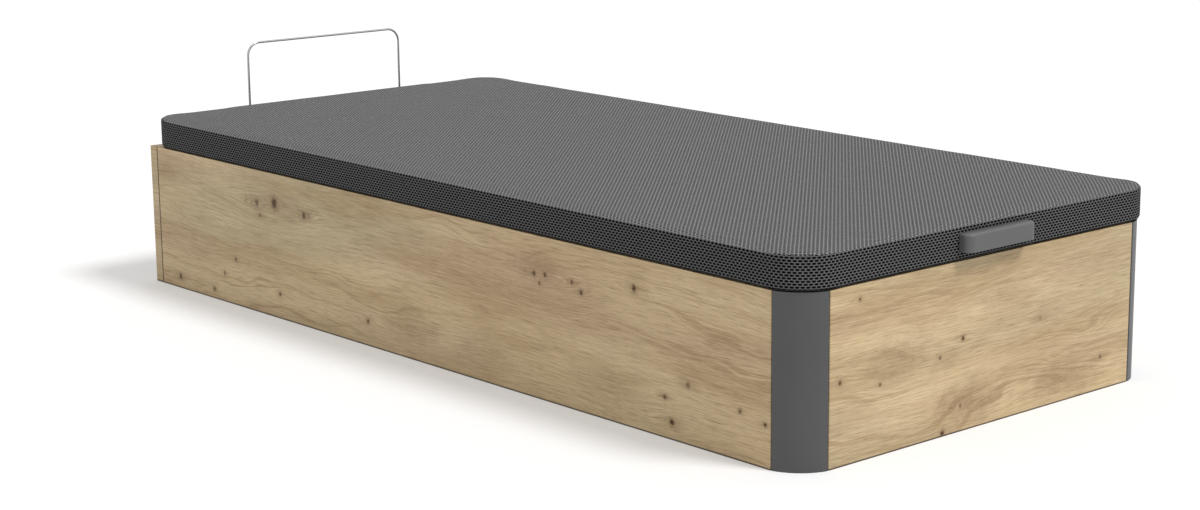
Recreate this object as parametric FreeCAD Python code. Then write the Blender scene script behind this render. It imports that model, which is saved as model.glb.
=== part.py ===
import FreeCAD, Part
import math
import os

# Storage bed base: a board box with a padded lid that lifts from the foot end.
# Millimetres. X runs across the bed, Y from the foot end (minus) to the head end (plus), Z up.
# The origin lies on the floor, under the middle of the centre floor rail.

Vec = FreeCAD.Vector
DIR_X = Vec(1, 0, 0)
DIR_Y = Vec(0, 1, 0)
DIR_Z = Vec(0, 0, 1)
ORIGIN = Vec(0, 0, 0)

# Whole bed base
lid_length = 1900.0
lid_width = 900.0
lid_thickness = 60.0
lid_overhang = 4.0
lid_gap = 2.0
box_height = 288.0
running_gap = 0.3
cut_overrun = 1.0
parallel_share = 0.9

# Boards of the box
board_thickness = 25.0
board_edge_bevel = 1.0
board_joint_gap = 1.5
head_bevel = 1.0

# Rounded corner profiles at the foot end
profile_leg = 63.0
profile_radius = 82.0
profile_wall = 2.5
profile_lap = 22.0
profile_lip_radius = 1.1
tongue_thickness = 4.0
tongue_length = 12.0
profile_screw_shares = (0.2, 0.5, 0.8)

# Floor of the storage compartment
floor_board_thickness = 6.0
floor_rail_width = 60.0
floor_rail_height = 30.0
floor_board_inset = 28.0
ledge_size = 20.0
ledge_end_gap = 10.0
long_ledge_screw_shares = (-0.8, -0.4, 0.0, 0.4, 0.8)
short_ledge_screw_shares = (0.25, 0.75)

# Steel angles in the head corners
angle_leg = 30.0
angle_thickness = 2.5
angle_height = 140.0
angle_bottom = 55.0
angle_screw_shares = (0.25, 0.75)

# Rubber bumpers under the lid
bumper_radius = 5.0
bumper_top_share = 0.8
bumper_inset_share = 0.5
bumper_length_shares = (-0.42, 0.0, 0.42)
bumper_width_share = 0.25

# Lift mechanism, in the plane of one long side
plate_thickness = 3.0
link_thickness = 4.5
link_half_width = 16.0
arm_pivot_from_head = 429.0
arm_pivot_above_floor = 51.0
link_pivot_from_head = 251.0
link_pivot_below_top = 44.0
lid_arm_pivot_from_end = 142.0
lid_arm_pivot_drop = 38.0
lid_link_pivot_from_end = 100.0
pivot_radius = 5.0
pivot_play = 0.08
open_pivot_play = 2.2
pin_head_radius = 10.0
pin_head_height = 2.5
pin_shoulder_radius = 8.0
flush_head_radius = 8.0
flush_head_height = 1.6
boss_radius = 15.0
plate_foot_radius = 18.0
plate_foot_drop = 20.0
plate_window_radius = 17.0
plate_screw_shares = (0.33, 0.5)

# Gas struts
strut_foot_from_head = 56.0
strut_foot_above_floor = 19.0
strut_stud_along_arm = 215.0
strut_axis_inset = 13.0
cylinder_radius = 9.0
cylinder_length = 172.0
cylinder_bore = 4.4
rod_radius = 4.0
rod_insert = 155.0
neck_length = 4.0
neck_radius = 5.0
eye_radius = 9.0
eye_width = 12.0
stud_radius = 4.0
stud_collar_radius = 7.5
stud_collar_height = 1.2
strut_plate_width = 40.0
strut_plate_height = 44.0
strut_plate_corner = 6.0

# Lid frame, board, padding and cover
cover_thickness = 4.0
cover_hem = 25.0
cover_edge_radius = 4.2
cover_bottom_radius = 3.0
lid_corner_radius = 75.0
foam_thickness = 9.0
lid_board_thickness = 5.0
rail_width = 25.0
cross_rail_width = 40.0
cross_rail_shares = (-0.25, 0.0, 0.25)
bracket_flange_length = 110.0
bracket_step_from_pivot = 105.0
bracket_edge = 2.0
bracket_screw_shares = (0.15, 0.5, 0.85)

# Pull handle on the foot face of the lid
handle_length = 173.0
handle_height = 30.0
handle_depth = 22.0
handle_rise = 7.5
handle_wall = 3.0
handle_top_wall = 4.0
handle_back = 2.5
handle_end_radius = 15.0
handle_edge_radius = 4.0
handle_boss_radius = 5.0
handle_boss_share = 0.36
handle_screw_grip = 12.0

# Wire mattress stop at the head end
stop_width = 394.0
stop_rise = 131.0
stop_wire_radius = 2.5
stop_bend_radius = 28.0
stop_leg_rise = 8.0
clip_thickness = 1.5
clip_width = 38.0
clip_height = 24.0
clip_rise = 16.0

# Screws
screw_shank_radius = 1.9
screw_head_radius = 4.2
screw_head_height = 2.2
screw_length = 18.0
long_screw_length = 32.0

# Sizes and places worked out from the ones above
box_length = lid_length - 2 * lid_overhang
box_width = lid_width - 2 * lid_overhang
box_x = box_width / 2
box_y = box_length / 2
inner_x = box_x - board_thickness
inner_y = box_y - board_thickness
lid_x = lid_width / 2
lid_y = lid_length / 2
lid_bottom = box_height + lid_gap
lid_top = lid_bottom + lid_thickness
frame_margin = cover_thickness + running_gap
frame_x = lid_x - frame_margin
frame_y = lid_y - frame_margin
frame_radius = lid_corner_radius - frame_margin
frame_bottom = lid_bottom + cover_thickness + running_gap
board_top = lid_top - cover_thickness - running_gap - foam_thickness
rail_top = board_top - lid_board_thickness
rail_inner_x = frame_x - rail_width
rail_middle = (frame_bottom + rail_top) / 2
stop_top = lid_top + stop_rise
handle_middle = rail_middle + handle_rise
ledge_bottom = floor_rail_height - ledge_size
floor_top = floor_rail_height + floor_board_thickness
strut_plate_bottom = floor_top + running_gap

# Layers of the right lift mechanism, from the long board inwards
fixed_plate_x = inner_x - plate_thickness
link_outer_x = fixed_plate_x - running_gap
link_inner_x = link_outer_x - link_thickness
arm_outer_x = link_inner_x - running_gap
arm_inner_x = arm_outer_x - link_thickness
bracket_outer_x = arm_inner_x - running_gap
bracket_inner_x = bracket_outer_x - plate_thickness
flange_inner_x = rail_inner_x - plate_thickness
strut_x = arm_inner_x - strut_axis_inset

# Pivot centres, as points in the plane of Y and Z
arm_pivot = (inner_y - arm_pivot_from_head, floor_top + arm_pivot_above_floor)
link_pivot = (inner_y - link_pivot_from_head, box_height - link_pivot_below_top)
lid_arm_pivot = (lid_y - lid_arm_pivot_from_end, lid_bottom - lid_arm_pivot_drop)
lid_link_pivot = (lid_y - lid_link_pivot_from_end, rail_middle)
strut_foot = (inner_y - strut_foot_from_head, floor_top + strut_foot_above_floor)


def along(start, end, distance):
    """The point at a distance from start on the line to end, in the plane of Y and Z."""
    length = math.hypot(end[0] - start[0], end[1] - start[1])
    part_share = distance / length
    return (start[0] + part_share * (end[0] - start[0]), start[1] + part_share * (end[1] - start[1]))


strut_head = along(arm_pivot, lid_arm_pivot, strut_stud_along_arm)


def box(x0, x1, y0, y1, z0, z1):
    """A block between two corners."""
    return Part.makeBox(x1 - x0, y1 - y0, z1 - z0, Vec(x0, y0, z0))


def rod_along_x(x0, x1, place, radius):
    """A round bar along X, centred on a point of the plane of Y and Z."""
    return Part.makeCylinder(radius, x1 - x0, Vec(x0, place[0], place[1]), DIR_X)


def mirrored(shape):
    """The same piece on the other long side."""
    return shape.mirror(ORIGIN, DIR_X)


def runs_along(edge, direction):
    """True if a straight edge lies along a direction."""
    return abs(edge.tangentAt(edge.FirstParameter).dot(direction)) > parallel_share


def slot_plate(x0, x1, start, end, radius):
    """A flat bar with round ends, standing in the plane of Y and Z between two points."""
    run_y = end[0] - start[0]
    run_z = end[1] - start[1]
    length = math.hypot(run_y, run_z)
    side = Vec(0, -run_z / length * radius, run_y / length * radius)
    ahead = Vec(0, run_y / length * radius, run_z / length * radius)
    first = Vec(x0, start[0], start[1])
    last = Vec(x0, end[0], end[1])
    edges = [
        Part.LineSegment(first + side, last + side).toShape(),
        Part.Arc(last + side, last + ahead, last - side).toShape(),
        Part.LineSegment(last - side, first - side).toShape(),
        Part.Arc(first - side, first - ahead, first + side).toShape(),
    ]
    return Part.Face(Part.Wire(edges)).extrude(Vec(x1 - x0, 0, 0))


def rounded_slab(half_x, half_y, radius, z0, z1):
    """A slab with round corners in plan."""
    slab = box(-half_x, half_x, -half_y, half_y, z0, z1)
    return slab.makeFillet(radius, [e for e in slab.Edges if runs_along(e, DIR_Z)])


def screw(place, direction, length):
    """A countersunk wood screw with its head's face at a point, running along a direction."""
    outline = Part.makePolygon([
        Vec(0, 0, 0),
        Vec(screw_head_radius, 0, 0),
        Vec(screw_shank_radius, 0, -screw_head_height),
        Vec(screw_shank_radius, 0, -length),
        Vec(0, 0, -length),
        Vec(0, 0, 0),
    ])
    solid = Part.Face(outline).revolve(ORIGIN, DIR_Z, 360)
    turn = FreeCAD.Rotation(Vec(0, 0, -1), direction)
    solid.Placement = FreeCAD.Placement(place, turn)
    return solid


def countersink(place, direction):
    """The hole for one such screw in a thin plate."""
    return screw(place, direction, long_screw_length)


def corner_point(a, b):
    """A plan point given by its distances inward from the side face and from the foot face."""
    return Vec(box_x - a, -box_y + b, 0)


def profile_section():
    """Plan section of the right foot corner profile: outer arc, two end webs, laps and chamber."""
    leg = profile_leg
    lap = profile_leg + profile_lap
    wall = profile_wall
    depth = board_thickness
    half_sum = 2 * leg
    root = math.sqrt(half_sum ** 2 - 8 * (leg ** 2 - profile_radius ** 2))
    centre = (half_sum + root) / 4
    arc_mid = centre - profile_radius / math.sqrt(2)
    lip = profile_lip_radius
    lip_depth = centre - math.sqrt(profile_radius ** 2 - (leg - lip - centre) ** 2)
    outside = [
        Part.LineSegment(corner_point(lip, leg), corner_point(depth, leg)),
        Part.LineSegment(corner_point(depth, leg), corner_point(depth, lap)),
        Part.LineSegment(corner_point(depth, lap), corner_point(depth + wall, lap)),
        Part.LineSegment(corner_point(depth + wall, lap), corner_point(depth + wall, leg)),
        Part.LineSegment(corner_point(depth + wall, leg), corner_point(leg, depth + wall)),
        Part.LineSegment(corner_point(leg, depth + wall), corner_point(lap, depth + wall)),
        Part.LineSegment(corner_point(lap, depth + wall), corner_point(lap, depth)),
        Part.LineSegment(corner_point(lap, depth), corner_point(leg, depth)),
        Part.LineSegment(corner_point(leg, depth), corner_point(leg, lip)),
        Part.LineSegment(corner_point(leg, lip), corner_point(leg - lip, lip_depth)),
        Part.Arc(corner_point(leg - lip, lip_depth), corner_point(arc_mid, arc_mid),
                 corner_point(lip_depth, leg - lip)),
        Part.LineSegment(corner_point(lip_depth, leg - lip), corner_point(lip, leg)),
    ]
    inner_radius = profile_radius - wall
    inner_mid = centre - inner_radius / math.sqrt(2)
    near = leg - wall
    arc_end = centre - math.sqrt(inner_radius ** 2 - (near - centre) ** 2)
    slant = depth + wall + leg - wall * math.sqrt(2)
    chamber = [
        Part.LineSegment(corner_point(arc_end, near), corner_point(slant - near, near)),
        Part.LineSegment(corner_point(slant - near, near), corner_point(near, slant - near)),
        Part.LineSegment(corner_point(near, slant - near), corner_point(near, arc_end)),
        Part.Arc(corner_point(near, arc_end), corner_point(inner_mid, inner_mid),
                 corner_point(arc_end, near)),
    ]
    outer_face = Part.Face(Part.Wire([s.toShape() for s in outside]))
    chamber_face = Part.Face(Part.Wire([s.toShape() for s in chamber]))
    return outer_face.cut(chamber_face)


def corner_profile():
    """The right foot corner profile, with the tongues that enter the boards' end grooves."""
    skin = profile_section().extrude(Vec(0, 0, box_height))
    middle = board_thickness / 2
    half = tongue_thickness / 2
    side_tongue = box(box_x - middle - half, box_x - middle + half, -box_y + profile_leg,
                      -box_y + profile_leg + tongue_length, 0, box_height)
    foot_tongue = box(box_x - profile_leg - tongue_length, box_x - profile_leg,
                      -box_y + middle - half, -box_y + middle + half, 0, box_height)
    return skin.fuse([side_tongue, foot_tongue]).removeSplitter()


def bevel_edges(solid, picked, size):
    """Bevel the edges whose middle point is picked."""
    chosen = [e for e in solid.Edges if picked(e.CenterOfMass)]
    return solid.makeChamfer(size, chosen)


def side_panel():
    """The right long board, grooved at its foot end, with a shadow gap at both ends."""
    web_y = -box_y + profile_leg
    y0 = web_y + board_joint_gap
    panel = box(inner_x, box_x, y0, inner_y - board_joint_gap, 0, box_height)
    near = board_edge_bevel / 2
    panel = bevel_edges(panel, lambda c: abs(c.x - box_x) < near and abs(c.y - y0) < near,
                        board_edge_bevel)
    middle = box_x - board_thickness / 2
    half = tongue_thickness / 2 + running_gap
    groove = box(middle - half, middle + half, web_y, web_y + tongue_length + running_gap,
                 -cut_overrun, box_height + cut_overrun)
    return panel.cut(groove)


def foot_panel():
    """The short board between the two corner profiles, grooved at both ends."""
    web_x = box_x - profile_leg
    x1 = web_x - board_joint_gap
    panel = box(-x1, x1, -box_y, -inner_y, 0, box_height)
    near = board_edge_bevel / 2
    panel = bevel_edges(panel, lambda c: abs(abs(c.x) - x1) < near and abs(c.y + box_y) < near,
                        board_edge_bevel)
    middle = -box_y + board_thickness / 2
    half = tongue_thickness / 2 + running_gap
    groove = box(web_x - tongue_length - running_gap, web_x, middle - half, middle + half,
                 -cut_overrun, box_height + cut_overrun)
    return panel.cut(groove).cut(mirrored(groove))


def head_panel():
    """The short board that covers the ends of the long ones."""
    panel = box(-box_x, box_x, inner_y, box_y, 0, box_height)
    near = head_bevel / 2
    return bevel_edges(panel, lambda c: abs(abs(c.x) - box_x) < near and abs(c.y - inner_y) < near,
                       head_bevel)


def floor_board(is_head):
    """Half of the compartment's floor. The foot half has its outer corners cut off at the profiles."""
    x1 = box_x - floor_board_inset
    z0 = floor_rail_height
    z1 = z0 + floor_board_thickness
    if is_head:
        return box(-x1, x1, running_gap / 2, inner_y - running_gap, z0, z1)
    y0 = -box_y + floor_board_inset
    board = box(-x1, x1, y0, -running_gap / 2, z0, z1)
    cut_leg = profile_leg - board_thickness
    near = running_gap
    return bevel_edges(board, lambda c: abs(abs(c.x) - x1) < near and abs(c.y - y0) < near, cut_leg)


def side_ledge():
    """The right ledge under the floor boards' edge."""
    y0 = -box_y + profile_leg + profile_lap + ledge_end_gap
    return box(inner_x - ledge_size, inner_x, y0, inner_y, ledge_bottom, floor_rail_height)


def foot_ledge():
    """The ledge on the foot board."""
    x1 = box_x - profile_leg - profile_lap - ledge_end_gap
    return box(-x1, x1, -inner_y, -inner_y + ledge_size, ledge_bottom, floor_rail_height)


def head_ledge():
    """The ledge on the head board, between the two long ledges."""
    x1 = inner_x - ledge_size
    return box(-x1, x1, inner_y - ledge_size, inner_y, ledge_bottom, floor_rail_height)


def centre_rail():
    """The lengthwise rail on the floor that carries the joint of the floor boards."""
    half = floor_rail_width / 2
    y1 = inner_y - ledge_size
    return box(-half, half, -y1, y1, 0, floor_rail_height)


def angle_screw_places():
    """Places and directions of the screws of the right head corner angle."""
    places = []
    for share in angle_screw_shares:
        height = angle_bottom + angle_height * share
        places.append((Vec(inner_x - angle_thickness, inner_y - angle_leg / 2, height), DIR_X))
        places.append((Vec(inner_x - angle_leg / 2, inner_y - angle_thickness, height), DIR_Y))
    return places


def head_angle():
    """The right steel angle between the long board and the head board."""
    z1 = angle_bottom + angle_height
    whole = box(inner_x - angle_leg, inner_x, inner_y - angle_leg, inner_y, angle_bottom, z1)
    hollow = box(inner_x - angle_leg - cut_overrun, inner_x - angle_thickness,
                 inner_y - angle_leg - cut_overrun, inner_y - angle_thickness,
                 angle_bottom - cut_overrun, z1 + cut_overrun)
    angle = whole.cut(hollow)
    for place, direction in angle_screw_places():
        angle = angle.cut(countersink(place, direction))
    return angle


def head_angle_screws():
    """The screws of the right head corner angle."""
    return [screw(place, direction, screw_length) for place, direction in angle_screw_places()]


def profile_screws():
    """The screws that hold the right corner profile's laps to the two boards."""
    found = []
    depth = board_thickness + profile_wall
    reach = profile_leg + profile_lap / 2
    for share in profile_screw_shares:
        height = box_height * share
        side_place = corner_point(depth, reach)
        foot_place = corner_point(reach, depth)
        found.append(screw(Vec(side_place.x, side_place.y, height), DIR_X, screw_length))
        found.append(screw(Vec(foot_place.x, foot_place.y, height), -DIR_Y, screw_length))
    return found


def ledge_screws():
    """The screws through the right long ledge and the right half of the short ledges."""
    height = (ledge_bottom + floor_rail_height) / 2
    places = []
    for share in long_ledge_screw_shares:
        places.append((Vec(inner_x - ledge_size, inner_y * share, height), DIR_X))
    for share in short_ledge_screw_shares:
        places.append((Vec(inner_x * share, inner_y - ledge_size, height), DIR_Y))
        places.append((Vec(inner_x * share, -inner_y + ledge_size, height), -DIR_Y))
    return [screw(place, direction, long_screw_length) for place, direction in places]


def bumper(x, y):
    """One clear rubber bumper on a board's top edge."""
    height = lid_gap - running_gap
    top_radius = bumper_radius * bumper_top_share
    return Part.makeCone(bumper_radius, top_radius, height, Vec(x, y, box_height), DIR_Z)


def bumpers():
    """All bumpers: three on each long board and two on the foot board."""
    x1 = box_x - board_thickness * bumper_inset_share
    found = []
    for share in bumper_length_shares:
        found.append(bumper(x1, box_length * share))
        found.append(bumper(-x1, box_length * share))
    x2 = box_width * bumper_width_share
    y2 = -box_y + board_thickness * bumper_inset_share
    found.append(bumper(x2, y2))
    found.append(bumper(-x2, y2))
    return found


def plate_corner():
    """The lower head-side corner of the fixed plate, where it is screwed to the board."""
    return (link_pivot[0], arm_pivot[1] + plate_foot_drop)


def fixed_plate_screws_at():
    """Places of the screws of the fixed plate."""
    corner = plate_corner()
    low_share, high_share = plate_screw_shares
    low = along(arm_pivot, corner, (corner[0] - arm_pivot[0]) * low_share)
    return [low, corner, along(corner, link_pivot, (link_pivot[1] - corner[1]) * high_share)]


def fixed_plate():
    """The right fixed plate on the long board, with the arm's and the link's pivots."""
    corner = plate_corner()
    edge = plate_foot_radius
    triangle = Part.Face(Part.makePolygon([
        Vec(fixed_plate_x, arm_pivot[0], arm_pivot[1]),
        Vec(fixed_plate_x, corner[0], corner[1]),
        Vec(fixed_plate_x, link_pivot[0], link_pivot[1]),
        Vec(fixed_plate_x, arm_pivot[0], arm_pivot[1]),
    ])).extrude(Vec(plate_thickness, 0, 0))
    bars = [
        slot_plate(fixed_plate_x, inner_x, arm_pivot, link_pivot, edge),
        slot_plate(fixed_plate_x, inner_x, corner, link_pivot, edge),
    ]
    plate = slot_plate(fixed_plate_x, inner_x, arm_pivot, corner, edge)
    plate = plate.fuse(bars + [triangle]).removeSplitter()
    middle = ((arm_pivot[0] + corner[0] + link_pivot[0]) / 3,
              (arm_pivot[1] + corner[1] + link_pivot[1]) / 3)
    start = fixed_plate_x - cut_overrun
    end = inner_x + cut_overrun
    plate = plate.cut(rod_along_x(start, end, middle, plate_window_radius))
    for pivot in (arm_pivot, link_pivot):
        plate = plate.cut(rod_along_x(start, end, pivot, pivot_radius))
    for place in fixed_plate_screws_at():
        plate = plate.cut(countersink(Vec(fixed_plate_x, place[0], place[1]), DIR_X))
    return plate


def turned_pin(pivot, steps):
    """A turned steel pin along X, given as steps of start, end and radius."""
    rods = [rod_along_x(x0, x1, pivot, radius) for x0, x1, radius in steps]
    return rods[0].fuse(rods[1:]).removeSplitter()


def fixed_pins():
    """The right fixed plate's two pins: the arm's with a spacing shoulder, and the link's, flush inboard."""
    head_x = arm_inner_x - running_gap
    arm_pin = turned_pin(arm_pivot, [
        (head_x, inner_x, pivot_radius),
        (head_x - pin_head_height, head_x, pin_head_radius),
        (link_inner_x, fixed_plate_x, pin_shoulder_radius),
    ])
    link_pin = turned_pin(link_pivot, [
        (link_inner_x, inner_x, pivot_radius),
        (link_inner_x, link_inner_x + flush_head_height, flush_head_radius),
    ])
    return [arm_pin, link_pin]


def lid_pins():
    """The right lid bracket's two pins: the arm's, flush outboard, and the link's with a shoulder."""
    head_x = bracket_inner_x - pin_head_height
    arm_pin = turned_pin(lid_arm_pivot, [
        (bracket_inner_x, arm_outer_x, pivot_radius),
        (head_x, bracket_inner_x, pin_head_radius),
        (arm_outer_x - flush_head_height, arm_outer_x, flush_head_radius),
    ])
    link_pin = turned_pin(lid_link_pivot, [
        (bracket_inner_x, fixed_plate_x, pivot_radius),
        (head_x, bracket_inner_x, pin_head_radius),
        (bracket_outer_x, arm_outer_x, pin_shoulder_radius),
        (fixed_plate_x, rail_inner_x - running_gap, pin_head_radius),
    ])
    return [arm_pin, link_pin]


def flat_bar(x0, x1, start, end, end_play):
    """A flat steel bar between two pivots, with a round hole at each."""
    bar = slot_plate(x0, x1, start, end, link_half_width)
    for pivot, play in ((start, pivot_play), (end, end_play)):
        bar = bar.cut(rod_along_x(x0 - cut_overrun, x1 + cut_overrun, pivot, pivot_radius + play))
    return bar


def main_arm():
    """The right main arm, recessed on its outer face for the flush pin head at the lid."""
    arm = flat_bar(arm_inner_x, arm_outer_x, arm_pivot, lid_arm_pivot, pivot_play)
    floor_x = arm_outer_x - flush_head_height - running_gap
    return arm.cut(rod_along_x(floor_x, arm_outer_x + cut_overrun, lid_arm_pivot,
                               flush_head_radius + running_gap))


def rear_link():
    """The right rear link, recessed on its inner face for the flush pin head at the plate."""
    link = flat_bar(link_inner_x, link_outer_x, link_pivot, lid_link_pivot, open_pivot_play)
    floor_x = link_inner_x + flush_head_height + running_gap
    return link.cut(rod_along_x(link_inner_x - cut_overrun, floor_x, link_pivot,
                                flush_head_radius + running_gap))


def bracket_step_y():
    """Where the lid bracket steps inboard from its flange."""
    return lid_link_pivot[0] - bracket_step_from_pivot


def bracket_screws_at():
    """Places of the screws of the lid bracket, in the lid's long rail."""
    start = bracket_step_y() - bracket_flange_length
    return [(start + bracket_flange_length * share, rail_middle) for share in bracket_screw_shares]


def lid_bracket():
    """The right lid bracket: a flange on the long rail, stepped inboard past the arm and the link."""
    step_y = bracket_step_y()
    z0 = frame_bottom + bracket_edge
    z1 = rail_top - bracket_edge
    web_y = step_y - plate_thickness
    end_y = lid_link_pivot[0] + boss_radius
    flange = box(flange_inner_x, rail_inner_x, step_y - bracket_flange_length, step_y, z0, z1)
    web = box(bracket_inner_x, rail_inner_x, web_y, step_y, z0, z1)
    plate = box(bracket_inner_x, bracket_outer_x, web_y, end_y, z0, z1)
    lobe = slot_plate(bracket_inner_x, bracket_outer_x, lid_arm_pivot, lid_link_pivot, boss_radius)
    bracket = flange.fuse([web, plate, lobe]).removeSplitter()
    for pivot in (lid_arm_pivot, lid_link_pivot):
        bracket = bracket.cut(rod_along_x(bracket_inner_x - cut_overrun,
                                          bracket_outer_x + cut_overrun, pivot, pivot_radius))
    for place in bracket_screws_at():
        bracket = bracket.cut(countersink(Vec(flange_inner_x, place[0], place[1]), DIR_X))
    return bracket


def strut_plate_screws_at():
    """Places of the two screws of the strut's foot bracket, above its stud."""
    margin = screw_head_radius + strut_plate_corner / 2
    reach = strut_plate_width / 2 - margin
    height = strut_plate_bottom + strut_plate_height - margin
    return [(strut_foot[0] - reach, height), (strut_foot[0] + reach, height)]


def strut_plate():
    """The right foot bracket of the gas strut, with its stud."""
    half = strut_plate_width / 2
    plate = box(fixed_plate_x, inner_x, strut_foot[0] - half, strut_foot[0] + half,
                strut_plate_bottom, strut_plate_bottom + strut_plate_height)
    across = [e for e in plate.Edges if runs_along(e, DIR_X)]
    plate = plate.makeFillet(strut_plate_corner, across)
    for place in strut_plate_screws_at():
        plate = plate.cut(countersink(Vec(fixed_plate_x, place[0], place[1]), DIR_X))
    inner_end = strut_x - eye_width / 2 - running_gap
    outer_end = strut_x + eye_width / 2 + running_gap
    stud = rod_along_x(inner_end, fixed_plate_x, strut_foot, stud_radius)
    collar = rod_along_x(outer_end, fixed_plate_x, strut_foot, stud_collar_radius)
    washer = rod_along_x(inner_end - stud_collar_height, inner_end, strut_foot, stud_collar_radius)
    return plate.fuse([stud, collar, washer]).removeSplitter()


def strut_line():
    """Unit direction of the strut from its foot to its head."""
    run = Vec(0, strut_head[0] - strut_foot[0], strut_head[1] - strut_foot[1])
    return run.normalize()


def strut_cylinder():
    """The right strut's pressure tube, with the eye on the foot stud and the bore for the rod."""
    start = Vec(strut_x, strut_foot[0], strut_foot[1])
    line = strut_line()
    tube_start = eye_radius + neck_length
    tube = Part.makeCylinder(cylinder_radius, cylinder_length, start + line * tube_start, line)
    neck = Part.makeCylinder(neck_radius, tube_start + running_gap, start, line)
    eye = rod_along_x(strut_x - eye_width / 2, strut_x + eye_width / 2, strut_foot, eye_radius)
    whole = tube.fuse([neck, eye]).removeSplitter()
    whole = whole.cut(rod_along_x(strut_x - eye_width, strut_x + eye_width, strut_foot,
                                  stud_radius + pivot_play))
    bore_start = start + line * (tube_start + cylinder_length - rod_insert - cut_overrun)
    bore = Part.makeCylinder(cylinder_bore, rod_insert + 2 * cut_overrun, bore_start, line)
    return whole.cut(bore)


def strut_rod():
    """The right strut's piston rod, with the eye on the arm's stud."""
    end = Vec(strut_x, strut_head[0], strut_head[1])
    line = strut_line()
    reach = math.hypot(strut_head[0] - strut_foot[0], strut_head[1] - strut_foot[1])
    inside = eye_radius + neck_length + cylinder_length - rod_insert
    rod = Part.makeCylinder(rod_radius, reach - inside, end - line * (reach - inside), line)
    eye = rod_along_x(strut_x - eye_width / 2, strut_x + eye_width / 2, strut_head, eye_radius)
    whole = rod.fuse(eye).removeSplitter()
    return whole.cut(rod_along_x(strut_x - eye_width, strut_x + eye_width, strut_head, stud_radius))


def strut_top_stud():
    """The stud of the right strut's upper eye, whose collar lies against the arm."""
    x1 = arm_inner_x - running_gap
    stud = rod_along_x(strut_x - eye_width / 2 - stud_collar_height, x1, strut_head, stud_radius)
    collar = rod_along_x(strut_x + eye_width / 2, x1, strut_head, stud_collar_radius)
    return stud.fuse(collar).removeSplitter()


def lid_side_rail():
    """The right long rail of the lid frame, between the curved corner pieces."""
    y1 = frame_y - frame_radius
    return box(rail_inner_x, frame_x, -y1, y1, frame_bottom, rail_top)


def lid_end_rail(sign):
    """The foot or head rail of the lid frame."""
    x1 = frame_x - frame_radius
    y_out = frame_y
    y_in = frame_y - rail_width
    if sign > 0:
        return box(-x1, x1, y_in, y_out, frame_bottom, rail_top)
    return box(-x1, x1, -y_out, -y_in, frame_bottom, rail_top)


def lid_corner(sign_x, sign_y):
    """A quarter-ring piece that joins a long rail and a short rail."""
    height = rail_top - frame_bottom
    centre = Vec(sign_x * (frame_x - frame_radius), sign_y * (frame_y - frame_radius), frame_bottom)
    start_angle = {(1, 1): 0, (-1, 1): 90, (-1, -1): 180, (1, -1): 270}[(sign_x, sign_y)]
    whole = Part.makeCylinder(frame_radius, height, centre, DIR_Z, 90)
    whole.rotate(centre, DIR_Z, start_angle)
    hollow = Part.makeCylinder(frame_radius - rail_width, height, centre, DIR_Z)
    return whole.cut(hollow)


def cross_rail(share):
    """A crosswise rail of the lid frame."""
    middle = lid_length * share
    half = cross_rail_width / 2
    return box(-rail_inner_x, rail_inner_x, middle - half, middle + half, frame_bottom, rail_top)


def lid_cover():
    """The fabric cover: a skin over the top and sides, with a hem turned under the frame."""
    outer = rounded_slab(lid_x, lid_y, lid_corner_radius, lid_bottom, lid_top)
    near = running_gap
    top_edges = [e for e in outer.Edges if abs(e.CenterOfMass.z - lid_top) < near]
    outer = outer.makeFillet(cover_edge_radius, top_edges)
    low_edges = [e for e in outer.Edges if abs(e.CenterOfMass.z - lid_bottom) < near]
    outer = outer.makeFillet(cover_bottom_radius, low_edges)
    inside = rounded_slab(lid_x - cover_thickness, lid_y - cover_thickness,
                          lid_corner_radius - cover_thickness, lid_bottom + cover_thickness,
                          lid_top - cover_thickness)
    reach = cover_thickness + cover_hem
    mouth = rounded_slab(lid_x - reach, lid_y - reach, lid_corner_radius - reach,
                         lid_bottom - cut_overrun, lid_bottom + cover_thickness + cut_overrun)
    return outer.cut(inside).cut(mouth)


def handle():
    """The moulded pull: a cup with a closed top, open below for the fingers."""
    half = handle_length / 2
    z0 = handle_middle - handle_height / 2
    z1 = z0 + handle_height
    y_back = -lid_y
    y_front = y_back - handle_depth
    body = box(-half, half, y_front, y_back, z0, z1)
    near = running_gap
    corners = [e for e in body.Edges
               if abs(abs(e.CenterOfMass.x) - half) < near and abs(e.CenterOfMass.y - y_front) < near]
    body = body.makeFillet(handle_end_radius, corners)
    rim = [e for e in body.Edges
           if abs(e.CenterOfMass.z - z1) < near and e.CenterOfMass.y < y_back - near]
    body = body.makeFillet(handle_edge_radius, rim)
    room = box(-half + handle_wall, half - handle_wall, y_front + handle_wall, y_back - handle_back,
               z0 - cut_overrun, z1 - handle_top_wall)
    room_corners = [e for e in room.Edges
                    if abs(abs(e.CenterOfMass.x) - half + handle_wall) < near
                    and abs(e.CenterOfMass.y - y_front - handle_wall) < near]
    room = room.makeFillet(handle_end_radius - handle_wall, room_corners)
    shell = body.cut(room)
    for sign in (-1, 1):
        boss = Part.makeCylinder(handle_boss_radius, handle_depth - handle_wall,
                                 Vec(sign * handle_length * handle_boss_share, y_back, handle_middle),
                                 -DIR_Y)
        shell = shell.fuse(boss)
    return shell.removeSplitter()


def handle_screws():
    """Two screws from inside the foot rail into the bosses of the pull."""
    length = rail_width + frame_margin + handle_screw_grip
    y = -(frame_y - rail_width)
    reach = handle_length * handle_boss_share
    return [screw(Vec(sign * reach, y, handle_middle), -DIR_Y, length) for sign in (-1, 1)]


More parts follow.
